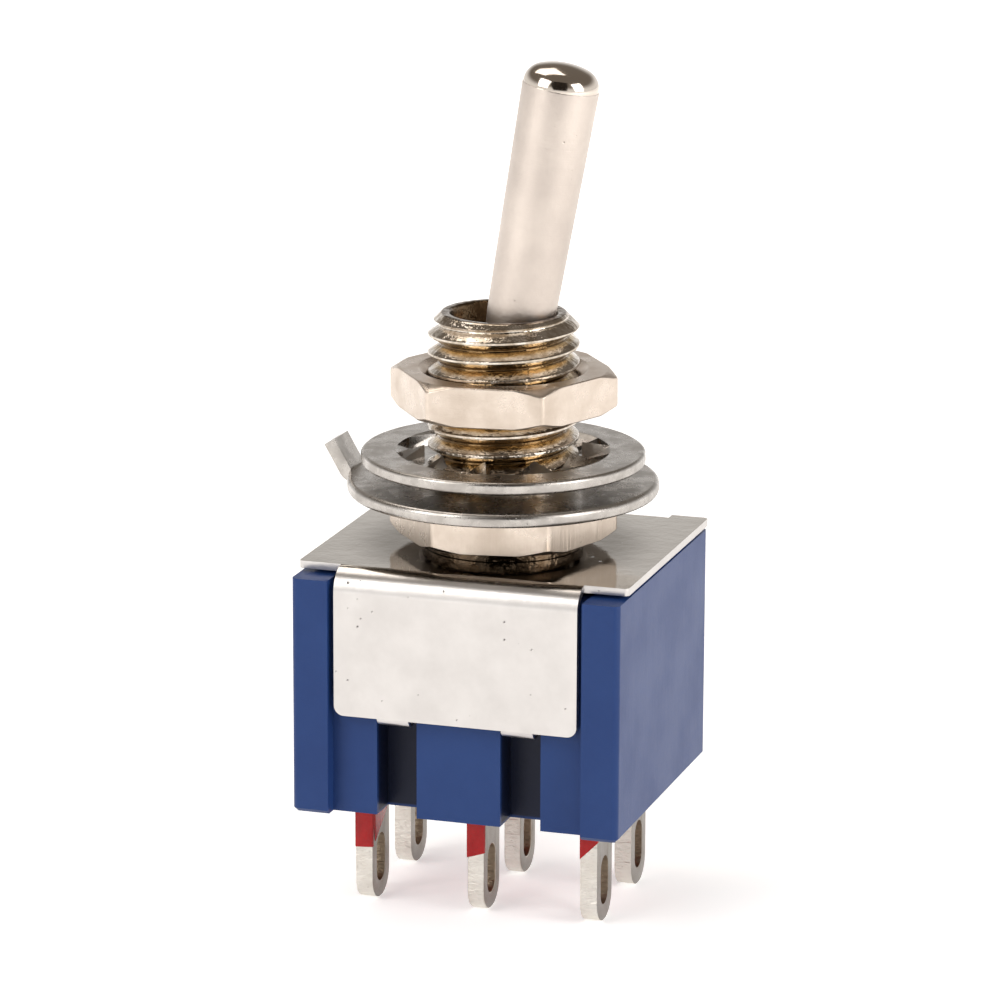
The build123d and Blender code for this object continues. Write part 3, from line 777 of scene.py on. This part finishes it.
def case_finish(settings):
    """Moulded plastic with a fine grain and a few specks, with painted shade in its grooves."""
    material, tree, shader, place = new_finish("moulded_case_plastic")
    clouds, share = clouding(tree, place, 0.3, 0.1, settings.plastic, settings.shade)
    x, y, z = axes(tree, place)
    inward = ramp(tree, calc(tree, "ABSOLUTE", y), *GROOVE_FLOOR, 1.0, 0.0)
    between = ramp(tree, calc(tree, "ABSOLUTE", x), *GROOVE_SIDE, 1.0, 0.0)
    upper = ramp(tree, z, *CASE_FOOT)
    groove_shade = times(tree, inward, between, upper)
    # painted shade in the case's grooves
    shaded = blend(tree, times(tree, groove_shade, 0.95), clouds, (0.002, 0.004, 0.018))
    colour, _ = speckle(tree, place, shaded, (0.10, 0.14, 0.27), 0.5, 1.2, 0.06, 0.07)
    roughness = ramp(tree, share, 0, 1, settings.roughness - 0.02, settings.roughness + 0.05)
    draft = bump(tree, grain(tree, place, 2.0, (1.0, 1.0, 0.06)), 0.006, 0.35)
    fine = bump(tree, grain(tree, place, 11.0), 0.006, 0.5, draft)
    dress(tree, shader, colour, roughness, fine, metallic=0.0, specular=0.25)
    return material


def terminal_finish(settings):
    """Silvered lugs: broad faces darkened with painted shade, torn bands on the punched edges, and brassy eyelet
    walls darkened with painted shade.
    """
    material, tree, shader, place = new_finish("silvered_terminal")
    clouds, _ = clouding(tree, place, 1.1, 0.35, settings.silver, settings.tarnish)
    across = calc(tree, "ABSOLUTE", facing(tree, (1, 0, 0)))
    edge_on = ramp(tree, across, 0.5, 0.8, 1.0, 0.0)
    cleaner = blend(tree, times(tree, edge_on, 0.75), clouds, settings.silver)
    broad = ramp(tree, across, 0.75, 0.98)
    # painted shade on the broad faces
    broad_face_shaded = blend(tree, times(tree, broad, 0.8), cleaner, settings.side)
    _, y, z = axes(tree, place)
    off_centre = calc(tree, "ABSOLUTE", calc(tree, "SUBTRACT", calc(tree, "ABSOLUTE", y), POLE_Y))
    beside = ramp(tree, off_centre, *EYELET_SIDE, 1.0, 0.0)
    # brassy eyelet walls, darkened with painted shade inside the holes
    wall = times(tree, beside, ramp(tree, z, *EYELET_FOOT), edge_on, 0.85)
    eyelet_shaded = blend(tree, wall, broad_face_shaded, settings.eyelet)
    colour, pits = speckle(tree, place, eyelet_shaded, (0.20, 0.16, 0.12), 0.5, 2.4, 0.25, 0.13)
    roughness = calc(tree, "ADD", times(tree, edge_on, 0.14), settings.roughness)
    torn = grain(tree, place, 2.2, (0.7, 0.6, 2.4))
    bands = bump(tree, times(tree, torn, edge_on), 0.08, 0.7)
    fine = bump(tree, grain(tree, place, 15.0), 0.008, 0.6, bands)
    dress(tree, shader, colour, roughness, pitted(tree, pits, 0.03, 0.8, fine))
    return material


def resin_finish(settings):
    """Glossy cast resin with slow flow ripples."""
    material, tree, shader, place = new_finish("glossy_sealing_resin")
    colour, share = clouding(tree, place, 1.2, 0.2, settings.resin, settings.shade)
    roughness = ramp(tree, share, 0, 1, settings.roughness, settings.roughness + 0.08)
    ripples = bump(tree, grain(tree, place, 1.4), 0.05, 0.5)
    dress(tree, shader, colour, roughness, ripples, metallic=0.0, specular=0.35)
    return material


def plain_metal(name, light, dark, roughness, per_mm, stretch=(1, 1, 1)):
    """Metal of a hidden working piece: clouded, with drawn or turned lines."""
    material, tree, shader, place = new_finish(name)
    colour, share = clouding(tree, place, 1.0, 0.3, light, dark)
    lines = bump(tree, grain(tree, place, per_mm, stretch), 0.005, 0.5)
    dress(tree, shader, colour, ramp(tree, share, 0, 1, roughness, roughness + 0.1), lines)
    return material


def nylon_finish():
    """Natural nylon moulding, faintly clouded."""
    material, tree, shader, place = new_finish("natural_nylon")
    colour, share = clouding(tree, place, 0.6, 0.2, (0.84, 0.83, 0.77), (0.74, 0.72, 0.64))
    fine = bump(tree, grain(tree, place, 10.0), 0.006, 0.5)
    dress(tree, shader, colour, ramp(tree, share, 0, 1, 0.42, 0.5), fine, metallic=0.0)
    return material


# ---------------------------------------------------------------- pieces

THREAD_STEPS = 96           # faces round one turn of the thread

# The bushing's drawing: radius and height, in millimetres
THROAT_R, THROAT_Z = 1.5527, 6.3796     # narrowest place, where the ball's seat starts
SEAT_R = 1.95
BARREL = [
    # undercut, thread, plain lead, lead chamfer and rounded mouth
    (0, 0.2), (2.74, 0.2), (2.74, 0.64), (3.02, 0.92), (3.02, 8.84), (3.0, 8.86),
    (2.50, 9.36), (2.455, 9.392), (2.41, 9.40), (0, 9.40),
]
COLLAR = [
    # staked rim under the frame's plate, spigot through it, and shoulder on it
    (0, -0.82), (3.25, -0.82), (3.45, -0.62), (3.5, -0.53), (3.5, -0.32), (2.9, -0.32), (2.9, 0.0),
    (3.17, 0.0), (3.2, 0.03), (3.2, 0.41), (3.17, 0.44), (0, 0.44),
]
THREAD_ENDS = (0.3 * MM, 9.5 * MM)      # of the bar before it is turned to its drawing
KEYWAY_HALF = 0.55 * MM
KEYWAY_X = -2.47 * MM                   # floor of the keyway
TAIL_END = -9.0 * MM                    # of the lever, down from the pivot
TAIL_FLAT = 0.62 * MM                   # from the axis to each flat of the tail
TAIL_FLAT_TOP = -6.78 * MM


def threaded_bar(settings, low, high):
    """A closed bar with a rounded right-hand thread between two heights."""
    crest, pitch = settings.thread_radius, settings.thread_pitch
    root = crest - settings.thread_depth
    flank = settings.thread_depth * math.tan(math.radians(30))
    worn = settings.crest_round
    land = settings.crest_width
    base = pitch - land - 2 * flank
    start = -settings.thread_drop - 2 * pitch
    outline = [
        (crest, worn), (crest, land - worn), (crest - worn * 0.5, land - worn * 0.2),
        (crest - worn * 1.8, land + worn),
        (root + 0.06 * MM, land + flank - 0.035 * MM), (root + 0.018 * MM, land + flank - 0.002 * MM),
        (root, land + flank + base * 0.4), (root, land + flank + base * 0.6),
        (root + 0.018 * MM, land + flank + base + 0.002 * MM),
        (root + 0.06 * MM, land + flank + base + 0.035 * MM),
        (crest - worn * 1.8, pitch - worn), (crest - worn * 0.5, pitch + worn * 0.2), (crest, pitch + worn),
    ]
    bar = draw("bushing", [(r, z + start) for r, z in outline])
    finish_with(
        bar, "SCREW", axis="Z", angle=math.tau, screw_offset=pitch,
        iterations=math.ceil((high - start) / pitch) + 1, steps=THREAD_STEPS, render_steps=THREAD_STEPS,
        use_merge_vertices=True, merge_threshold=WELD,
    )
    edit(bar)
    for height, outward in ((low, -1), (high, 1)):
        bpy.ops.mesh.select_all(action="SELECT")
        bpy.ops.mesh.bisect(
            plane_co=(0, 0, height), plane_no=(0, 0, outward),
            use_fill=True, clear_outer=True, threshold=1e-8,
        )
    weld()
    done()
    return bar


def bore_tool(settings):
    """The bushing's bore: rounded mouth, taper to the throat, ball seat, barrel and flare."""
    mouth, pivot = settings.mouth_radius * MM_PER_METRE, PIVOT.z * MM_PER_METRE
    seat = arc((0, pivot), SEAT_R, math.atan2(THROAT_Z - pivot, THROAT_R), 0, 14)
    return turn("bore_tool", millimetres([
        (0, 9.6), (mouth + 0.3, 9.6), (mouth + 0.12, 9.41), (mouth + 0.06, 9.394), (mouth + 0.02, 9.36),
        (mouth - 0.01, 9.29), (THROAT_R + 0.004, THROAT_Z + 0.04), *seat,
        (SEAT_R, 2.6), (2.35, -0.82), (2.37, -1.0), (0, -1.0),
    ]))


def make_bushing(settings):
    """Threaded bushing: helical thread, lead chamfer, shoulder, staked rim, bore and keyway."""
    bar = threaded_bar(settings, *THREAD_ENDS)
    combine(bar, turn("envelope", millimetres(BARREL)), "INTERSECT")
    combine(bar, turn("collar", millimetres(COLLAR)), "UNION")
    combine(bar, bore_tool(settings), "DIFFERENCE")
    shoulder_top = COLLAR[-1][1] * MM
    keyway = block("keyway_tool", (-4 * MM, -KEYWAY_HALF, shoulder_top), (KEYWAY_X, KEYWAY_HALF, 10 * MM))
    combine(bar, keyway, "DIFFERENCE")
    edit(bar)
    weld()
    done()
    smooth(bar, 28.0)
    return bar


def lever_outline(settings):
    """The lever's half section about an upright axis through the pivot, in metres."""
    tip, neck, ball = settings.tip_radius, settings.neck_radius, settings.ball_radius
    tail = 0.8 * MM
    edge_z = settings.reach - settings.crown_height
    bend = settings.crown_edge
    tip_in = tip - settings.crown_step
    offset = tip_in - bend
    rise = settings.crown_height - bend
    dome = (offset ** 2 + rise ** 2) / (2 * rise) + bend
    dome_z = settings.reach - dome
    meet = math.atan2(edge_z - dome_z, offset)
    under_ball = math.atan2(-math.sqrt(ball ** 2 - tail ** 2), tail)
    over_ball = math.atan2(math.sqrt(ball ** 2 - neck ** 2), neck)
    return [
        (0, TAIL_END), (tail - 0.2 * MM, TAIL_END), (tail, TAIL_END + 0.2 * MM),
        *arc((0, 0), ball, under_ball, over_ball, 24),
        (1.3545 * MM, 4.2 * MM),
        (tip - 0.0006 * MM, edge_z - 0.03 * MM), (tip - 0.004 * MM, edge_z - 0.006 * MM), (tip_in, edge_z),
        *arc((offset, edge_z), bend, 0.0, meet, 10)[1:],
        *arc((0, dome_z), dome, meet, math.pi / 2, 8)[1:-1],
        (0, settings.reach),
    ]


def make_lever(settings):
    """Turned lever: polished crown, long taper, ball and flatted tail, leaning at its rest."""
    lever = turn("toggle_lever", lever_outline(settings))
    out = 1.8 * MM
    for near, far in ((-out, -TAIL_FLAT), (TAIL_FLAT, out)):
        combine(lever, block("flat_tool", (-out, near, -10 * MM), (out, far, TAIL_FLAT_TOP)), "DIFFERENCE")
    lever.rotation_euler = (0, LEAN, 0)
    lever.location = PIVOT
    settle(lever)
    smooth(lever, 30.0)
    return lever


# Half of a lug's section, without its head
LUG_X = 0.35 * MM
LUG_Y = 1.025 * MM


def skirt(node, spread, film, rings, climb, tilt_x, tilt_y):
    """A hollowed skirt of resin round one lug: it spreads at the recess and thins to a tilted rim."""
    low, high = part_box(node)
    centre = (low + high) / 2
    case_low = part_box("case")[0].z
    floor_z = case_low - 0.1 * MM
    size = Vector((LUG_X + spread, LUG_Y + spread * 0.85))
    bpy.ops.mesh.primitive_cube_add(
        size=1, location=(centre.x, centre.y, case_low), scale=(2 * size.x, 2 * size.y, 0.2 * MM),
    )
    piece = bpy.context.object
    piece.name = "skirt"
    settle(piece)
    edit_edges(piece, lambda a, b: not level(a, b))
    bpy.ops.mesh.bevel(offset=0.3 * MM, segments=6, affect="EDGES")
    done()
    edit_faces(piece, lambda face: face.normal.z < -0.9)
    reached = 0.0
    for ring in range(1, rings + 1):
        share = ring / rings
        fall = climb * share ** 1.25
        out = film + (spread - film) * (1 - share) ** 2.6
        aim = Vector((LUG_X + out, LUG_Y + out * (0.85 + 0.15 * share)))
        middle = (centre.x, centre.y, floor_z - fall)
        bpy.ops.mesh.extrude_region_move(TRANSFORM_OT_translate={"value": (0, 0, reached - fall)})
        bpy.ops.transform.resize(value=(aim.x / size.x, aim.y / size.y, 1), center_override=middle)
        for tilt, axis in ((tilt_x, "X"), (tilt_y, "Y")):
            bpy.ops.transform.rotate(
                value=-math.radians(tilt) / rings, orient_axis=axis, center_override=middle,
            )
        reached, size = fall, aim
    done()
    return piece


SKIRTS = {
    # node: how far it climbs in millimetres, tilt about X and about Y in degrees
    "terminal_front_left": (1.35, 36.0, 2.0),
    "terminal_front_centre": (0.5, 12.0, -6.0),
    "terminal_front_right": (0.4, 10.0, -8.0),
    "terminal_rear_left": (1.3, -14.0, 12.0),
    "terminal_rear_centre": (1.25, -12.0, 12.0),
    "terminal_rear_right": (0.5, -10.0, -6.0),
}

RUNS = {
    # node: height of the lower end of its run at the left and at the right, in millimetres
    "terminal_front_left": (-12.20, -12.15),
    "terminal_front_centre": (-12.17, -11.93),
    "terminal_front_right": (-11.78, -11.0),
}


def run_of_resin(node, film, left_mm, right_mm):
    """Resin that ran down the narrow front of a lug, ending on a slant."""
    low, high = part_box(node)
    centre = (low + high) / 2
    front = centre.y - LUG_Y
    half = LUG_X + 0.02 * MM
    low_corner = (centre.x - half, front - film, -12.6 * MM)
    piece = block("run", low_corner, (centre.x + half, front + 0.12 * MM, -10.0 * MM))
    edit(piece)
    slope = (right_mm - left_mm) * MM / (2 * half)
    bpy.ops.mesh.bisect(
        plane_co=(centre.x, front, (left_mm + right_mm) / 2 * MM), plane_no=(slope, 0, -1),
        use_fill=True, clear_outer=True,
    )
    weld()
    done()
    edit_edges(piece, lambda a, b: max(a.y, b.y) < front and min(a.z, b.z) < -10.5 * MM)
    bpy.ops.mesh.bevel(offset=0.6 * film, segments=3, affect="EDGES", clamp_overlap=True)
    done()
    return piece


def make_resin(settings):
    """Sealing resin: the fill of the recess, a skirt on each lug and the runs down three of them."""
    case_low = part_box("case")[0].z
    low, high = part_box("terminal_seal")
    resin = block("terminal_seal", (low.x, low.y, case_low + 0.1 * MM), (high.x, high.y, high.z))
    for node, (climb, tilt_x, tilt_y) in SKIRTS.items():
        part = skirt(node, settings.spread, settings.film, settings.rings, climb * MM, tilt_x, tilt_y)
        combine(resin, part, "UNION")
    for node, (left_mm, right_mm) in RUNS.items():
        combine(resin, run_of_resin(node, settings.film, left_mm, right_mm), "UNION")
    for node in SKIRTS:
        low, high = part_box(node)
        centre = (low + high) / 2
        half = Vector((LUG_X + 0.01 * MM, LUG_Y + 0.01 * MM, 0))
        lug = block("lug_tool", (*(centre - half).xy, -16 * MM), (*(centre + half).xy, 0))
        combine(resin, lug, "DIFFERENCE")
    edit(resin)
    weld()
    done()
    smooth(resin, 40.0)
    return resin


# ---------------------------------------------------------------- operators

class BuildOperator(bpy.types.Operator):
    """Shared by the operators that build a piece."""

    bl_options = {"REGISTER", "UNDO"}


class TOGGLE_OT_bushing(BuildOperator):
    """Build the threaded bushing"""

    bl_idname = "toggle_switch.bushing"
    bl_label = "Bushing"

    def execute(self, context):
        settings = context.scene.bushing_settings
        ship(make_bushing(settings), thread_finish(settings), "housing", "bushing")
        return {"FINISHED"}


class TOGGLE_OT_lever(BuildOperator):
    """Build the lever"""

    bl_idname = "toggle_switch.lever"
    bl_label = "Lever"

    def execute(self, context):
        settings = context.scene.lever_settings
        ship(make_lever(settings), lever_finish(settings), "toggle", "toggle_lever")
        return {"FINISHED"}


class TOGGLE_OT_nuts(BuildOperator):
    """Finish the two nuts"""

    bl_idname = "toggle_switch.nuts"
    bl_label = "Nuts"

    def execute(self, context):
        settings = context.scene.nut_settings
        finishes = {
            "upper_nut": nut_finish("nickel_upper_nut", settings, (0.25, 0.25, 2.0), 4.0, 0.008),
            "lower_nut": nut_finish("nickel_lower_nut", settings, (2.0, 2.0, 0.06), 3.5, 0.02),
        }
        for node, finish in finishes.items():
            piece = from_frame(node, settings.edge, corner=settings.corner)
            ship(piece, finish, node, node)
        return {"FINISHED"}


RIMS = {
    # node: radius of its outer edge, how far that is rounded, and half the width of its tab
    "lock_washer": (5.65 * MM, 0.14 * MM, 0),
    "locating_ring": (6.2 * MM, 0.2 * MM, 1.1 * MM),
}


class TOGGLE_OT_washers(BuildOperator):
    """Finish the tooth washer and the locating ring"""

    bl_idname = "toggle_switch.washers"
    bl_label = "Washers"

    def execute(self, context):
        settings = context.scene.washer_settings
        finish = washer_finish(settings)
        for node, rim in RIMS.items():
            piece = from_frame(node, settings.edge, rim=rim)
            ship(piece, finish, "housing", node)
        return {"FINISHED"}


class TOGGLE_OT_sheet_frame(BuildOperator):
    """Finish the folded sheet frame"""

    bl_idname = "toggle_switch.sheet_frame"
    bl_label = "Frame"

    def execute(self, context):
        settings = context.scene.sheet_settings
        piece = from_frame("frame", settings.edge)
        ship(piece, sheet_finish(settings), "housing", "frame")
        return {"FINISHED"}


class TOGGLE_OT_case(BuildOperator):
    """Finish the moulded case"""

    bl_idname = "toggle_switch.case"
    bl_label = "Case"

    def execute(self, context):
        settings = context.scene.case_settings
        piece = from_frame("case", settings.edge, merge_facets=False)
        ship(piece, case_finish(settings), "housing", "case")
        return {"FINISHED"}


class TOGGLE_OT_terminals(BuildOperator):
    """Finish the six terminals"""

    bl_idname = "toggle_switch.terminals"
    bl_label = "Terminals"

    def execute(self, context):
        settings = context.scene.terminal_settings
        finish = terminal_finish(settings)
        for node in SKIRTS:
            piece = from_frame(node, settings.edge, merge_facets=False)
            ship(piece, finish, "housing", node)
        return {"FINISHED"}


class TOGGLE_OT_resin(BuildOperator):
    """Build the sealing resin"""

    bl_idname = "toggle_switch.resin"
    bl_label = "Resin"

    def execute(self, context):
        settings = context.scene.resin_settings
        piece = make_resin(settings)
        piece.name = "sealing_resin"
        ship(piece, resin_finish(settings), "housing", "terminal_seal")
        return {"FINISHED"}


class TOGGLE_OT_mechanism(BuildOperator):
    """Finish the actuator, plungers, springs and rockers inside the case"""

    bl_idname = "toggle_switch.mechanism"
    bl_label = "Mechanism"

    def execute(self, context):
        finishes = {
            "actuator": (nylon_finish(), "white_nylon"),
            "plunger": (plain_metal(
                "turned_brass", (0.72, 0.52, 0.24), (0.58, 0.40, 0.17), 0.2, 8.0, (0.3, 0.3, 2.0)), "brass"),
            "spring": (plain_metal(
                "drawn_spring_wire", (0.55, 0.55, 0.56), (0.42, 0.42, 0.43), 0.28, 10.0), "spring_steel"),
            "rocker": (plain_metal(
                "contact_silver", (0.80, 0.79, 0.75), (0.66, 0.63, 0.57), 0.24, 6.0, (0.15, 2, 1)), "contact_silver"),
        }
        for name, node in frame["nodes"].items():
            kind = name.split("_")[0]
            if kind in finishes:
                finish, slot = finishes[kind]
                clad(node, finish)
        return {"FINISHED"}


# ---------------------------------------------------------------- stage

CAMERA_SHIFT = (-0.00307, 0.01772)      # of the lens, in widths of the picture
CAMERA_AIM = Vector((0, 0, 1 * MM))
CARD_DISTANCE = 360.0 * MM
CARD_SIZE = (300.0, 330.0)              # in millimetres
FLOOR_GLOW = (45.0, 220.0)              # from the axis, where the floor's glow grows, in millimetres
LAMP_AIM = Vector((0, 0, 2 * MM))
LAMPS = {
    # name: turn from the front and lift in degrees, distance, width and height in millimetres,
    # share of the brightness, colour
    "left_softbox": (-38.0, 33.0, 330.0, 190.0, 250.0, 0.85, (1.0, 0.985, 0.96)),
    "right_softbox": (76.0, 24.0, 320.0, 160.0, 220.0, 1.15, (1.0, 0.985, 0.965)),
    "back_softbox": (222.0, 62.0, 340.0, 250.0, 190.0, 0.6, (1.0, 0.94, 0.87)),
}


def direction(side, up):
    """The way to something at an angle round from the front and an angle above the horizon."""
    return Vector((math.sin(side) * math.cos(up), -math.cos(side) * math.cos(up), math.sin(up)))


def white_to_the_eye(tree, strength):
    """A number that is strength for camera, glossy and transmitted rays, and 0 for the rest."""
    path = add(tree, "ShaderNodeLightPath").outputs
    seen = calc(tree, "MAXIMUM", path["Is Camera Ray"], path["Is Glossy Ray"])
    seen = calc(tree, "MAXIMUM", seen, path["Is Transmission Ray"])
    return times(tree, seen, strength)


def make_floor(settings):
    """A pale round floor just under the lugs' ends, which fades to white away from them."""
    bpy.ops.object.select_all(action="DESELECT")
    bpy.ops.mesh.primitive_circle_add(
        vertices=96, radius=settings.floor_radius, fill_type="NGON",
        location=(0, 0, CAD_BOX[0].z - 0.02 * MM),
    )
    floor = bpy.context.object
    floor.name = "floor"
    settle(floor)
    material, tree, shader, place = new_finish("pale_floor")
    white = settings.floor_white
    pale, _ = clouding(tree, place, 0.01, 0.1, (white,) * 3, (white * 0.985,) * 3)
    dress(tree, shader, pale, 1.0, metallic=0.0, specular=0.0)
    _, radius, _ = turning(tree, place)
    outward = ramp(tree, radius, *FLOOR_GLOW, 0.5, 1.0)
    plug(tree, shader["Emission Color"], (1, 1, 1))
    plug(tree, shader["Emission Strength"], white_to_the_eye(tree, outward))
    clad(floor, material)


def make_world(settings):
    """White walls up to a dim warm ceiling, and plain white to the camera."""
    world = bpy.data.worlds.new("studio_room")
    bpy.context.scene.world = world
    world.use_nodes = True
    tree = world.node_tree
    tree.nodes.clear()
    way = add(tree, "ShaderNodeTexCoord").outputs["Generated"]
    _, _, height = axes(tree, way)
    room = blend(tree, ramp(tree, height, 0.10, 0.48), (1.0, 0.985, 0.965), (0.19, 0.165, 0.14))
    lit = add(tree, "ShaderNodeBackground", {"Color": room, "Strength": settings.world_strength})
    plain = add(tree, "ShaderNodeBackground", {"Color": (1, 1, 1, 1), "Strength": 1.0})
    seen = add(tree, "ShaderNodeLightPath").outputs["Is Camera Ray"]
    both = add(tree, "ShaderNodeMixShader", {0: seen, 1: lit.outputs[0], 2: plain.outputs[0]})
    add(tree, "ShaderNodeOutputWorld", {"Surface": both.outputs[0]})


def make_lamps(settings):
    """Softboxes at the front left, the right and high at the back left."""
    for name, (turned, lift, distance, width, height, share, tint) in LAMPS.items():
        light = bpy.data.lights.new(name, "AREA")
        light.shape = "RECTANGLE"
        light.size = width * MM
        light.size_y = height * MM
        light.energy = settings.lamp_strength * share * math.pi * light.size * light.size_y
        light.color = tint
        lamp = bpy.data.objects.new(name, light)
        bpy.context.scene.collection.objects.link(lamp)
        lamp.visible_camera = False
        away = direction(math.radians(turned), math.radians(lift))
        lamp.location = LAMP_AIM + away * distance * MM
        lamp.rotation_mode = "QUATERNION"
        lamp.rotation_quaternion = away.to_track_quat("Z", "Y")


def make_card():
    """A dark card round the camera, which the metal shows as its dark bands."""
    bpy.ops.object.select_all(action="DESELECT")
    away = direction(math.radians(16.0), math.radians(31.0))
    bpy.ops.mesh.primitive_plane_add(
        size=MM, location=away * CARD_DISTANCE, rotation=away.to_track_quat("Z", "Y").to_euler(),
    )
    card = bpy.context.object
    card.name = "dark_card"
    card.scale = (*CARD_SIZE, 1.0)
    settle(card)
    material, tree, shader, place = new_finish("dark_felt")
    felt, _ = clouding(tree, place, 0.05, 0.3, (0.035, 0.028, 0.023), (0.02, 0.016, 0.013))
    dress(tree, shader, felt, 1.0, metallic=0.0, specular=0.0)
    clad(card, material)
    card.visible_camera = False
    card.visible_diffuse = False
    card.visible_shadow = False


def make_camera(settings):
    """The camera at the front, a little to the right and above."""
    side, roll = settings.camera_turn, settings.camera_roll
    away = direction(side, settings.camera_lift)
    right = Vector((math.cos(side), math.sin(side), 0))
    above = away.cross(right)
    right_rolled = right * math.cos(roll) + above * math.sin(roll)
    above_rolled = above * math.cos(roll) - right * math.sin(roll)
    lens = bpy.data.cameras.new("camera")
    lens.lens = settings.focal_length
    lens.sensor_width = 36.0
    lens.shift_x, lens.shift_y = CAMERA_SHIFT
    lens.clip_start = 0.01
    lens.clip_end = 10.0
    camera = bpy.data.objects.new("camera", lens)
    bpy.context.scene.collection.objects.link(camera)
    turn_to = Matrix((right_rolled, above_rolled, away)).transposed().to_4x4()
    camera.matrix_world = Matrix.Translation(CAMERA_AIM + away * settings.camera_distance) @ turn_to
    bpy.context.scene.camera = camera


class TOGGLE_OT_stage(BuildOperator):
    """Set the floor, the light and the camera"""

    bl_idname = "toggle_switch.stage"
    bl_label = "Stage"

    def execute(self, context):
        settings = context.scene.stage_settings
        make_floor(settings)
        make_world(settings)
        make_lamps(settings)
        make_card()
        make_camera(settings)
        context.scene.view_settings.view_transform = "Standard"
        return {"FINISHED"}


OPERATORS = (
    TOGGLE_OT_bushing,
    TOGGLE_OT_lever,
    TOGGLE_OT_nuts,
    TOGGLE_OT_washers,
    TOGGLE_OT_sheet_frame,
    TOGGLE_OT_case,
    TOGGLE_OT_terminals,
    TOGGLE_OT_resin,
    TOGGLE_OT_mechanism,
    TOGGLE_OT_stage,
)


class TOGGLE_PT_pieces(bpy.types.Panel):
    """Lists the pieces and their settings in the 3D view's sidebar"""

    bl_idname = "TOGGLE_PT_pieces"
    bl_label = "Miniature toggle switch"
    bl_space_type = "VIEW_3D"
    bl_region_type = "UI"
    bl_category = "Toggle switch"

    def draw(self, context):
        layout = self.layout
        for name, group in SETTINGS.items():
            box = layout.box()
            box.label(text=group.__doc__)
            for key in group.__annotations__:
                box.prop(getattr(context.scene, name), key)
        for operator in OPERATORS:
            layout.operator(operator.bl_idname)


CLASSES = (*SETTINGS.values(), *OPERATORS, TOGGLE_PT_pieces)


def register():
    """Add the settings, operators and panel."""
    for item in CLASSES:
        bpy.utils.register_class(item)
    for name, group in SETTINGS.items():
        setattr(bpy.types.Scene, name, PointerProperty(type=group))


def unregister():
    """Take the settings, operators and panel away."""
    for name in SETTINGS:
        delattr(bpy.types.Scene, name)
    for item in reversed(CLASSES):
        bpy.utils.unregister_class(item)


def main():
    """Register the add-on and build every piece."""
    register()
    for operator in OPERATORS:
        family, name = operator.bl_idname.split(".")
        getattr(getattr(bpy.ops, family), name)()


if __name__ == "__main__":
    main()
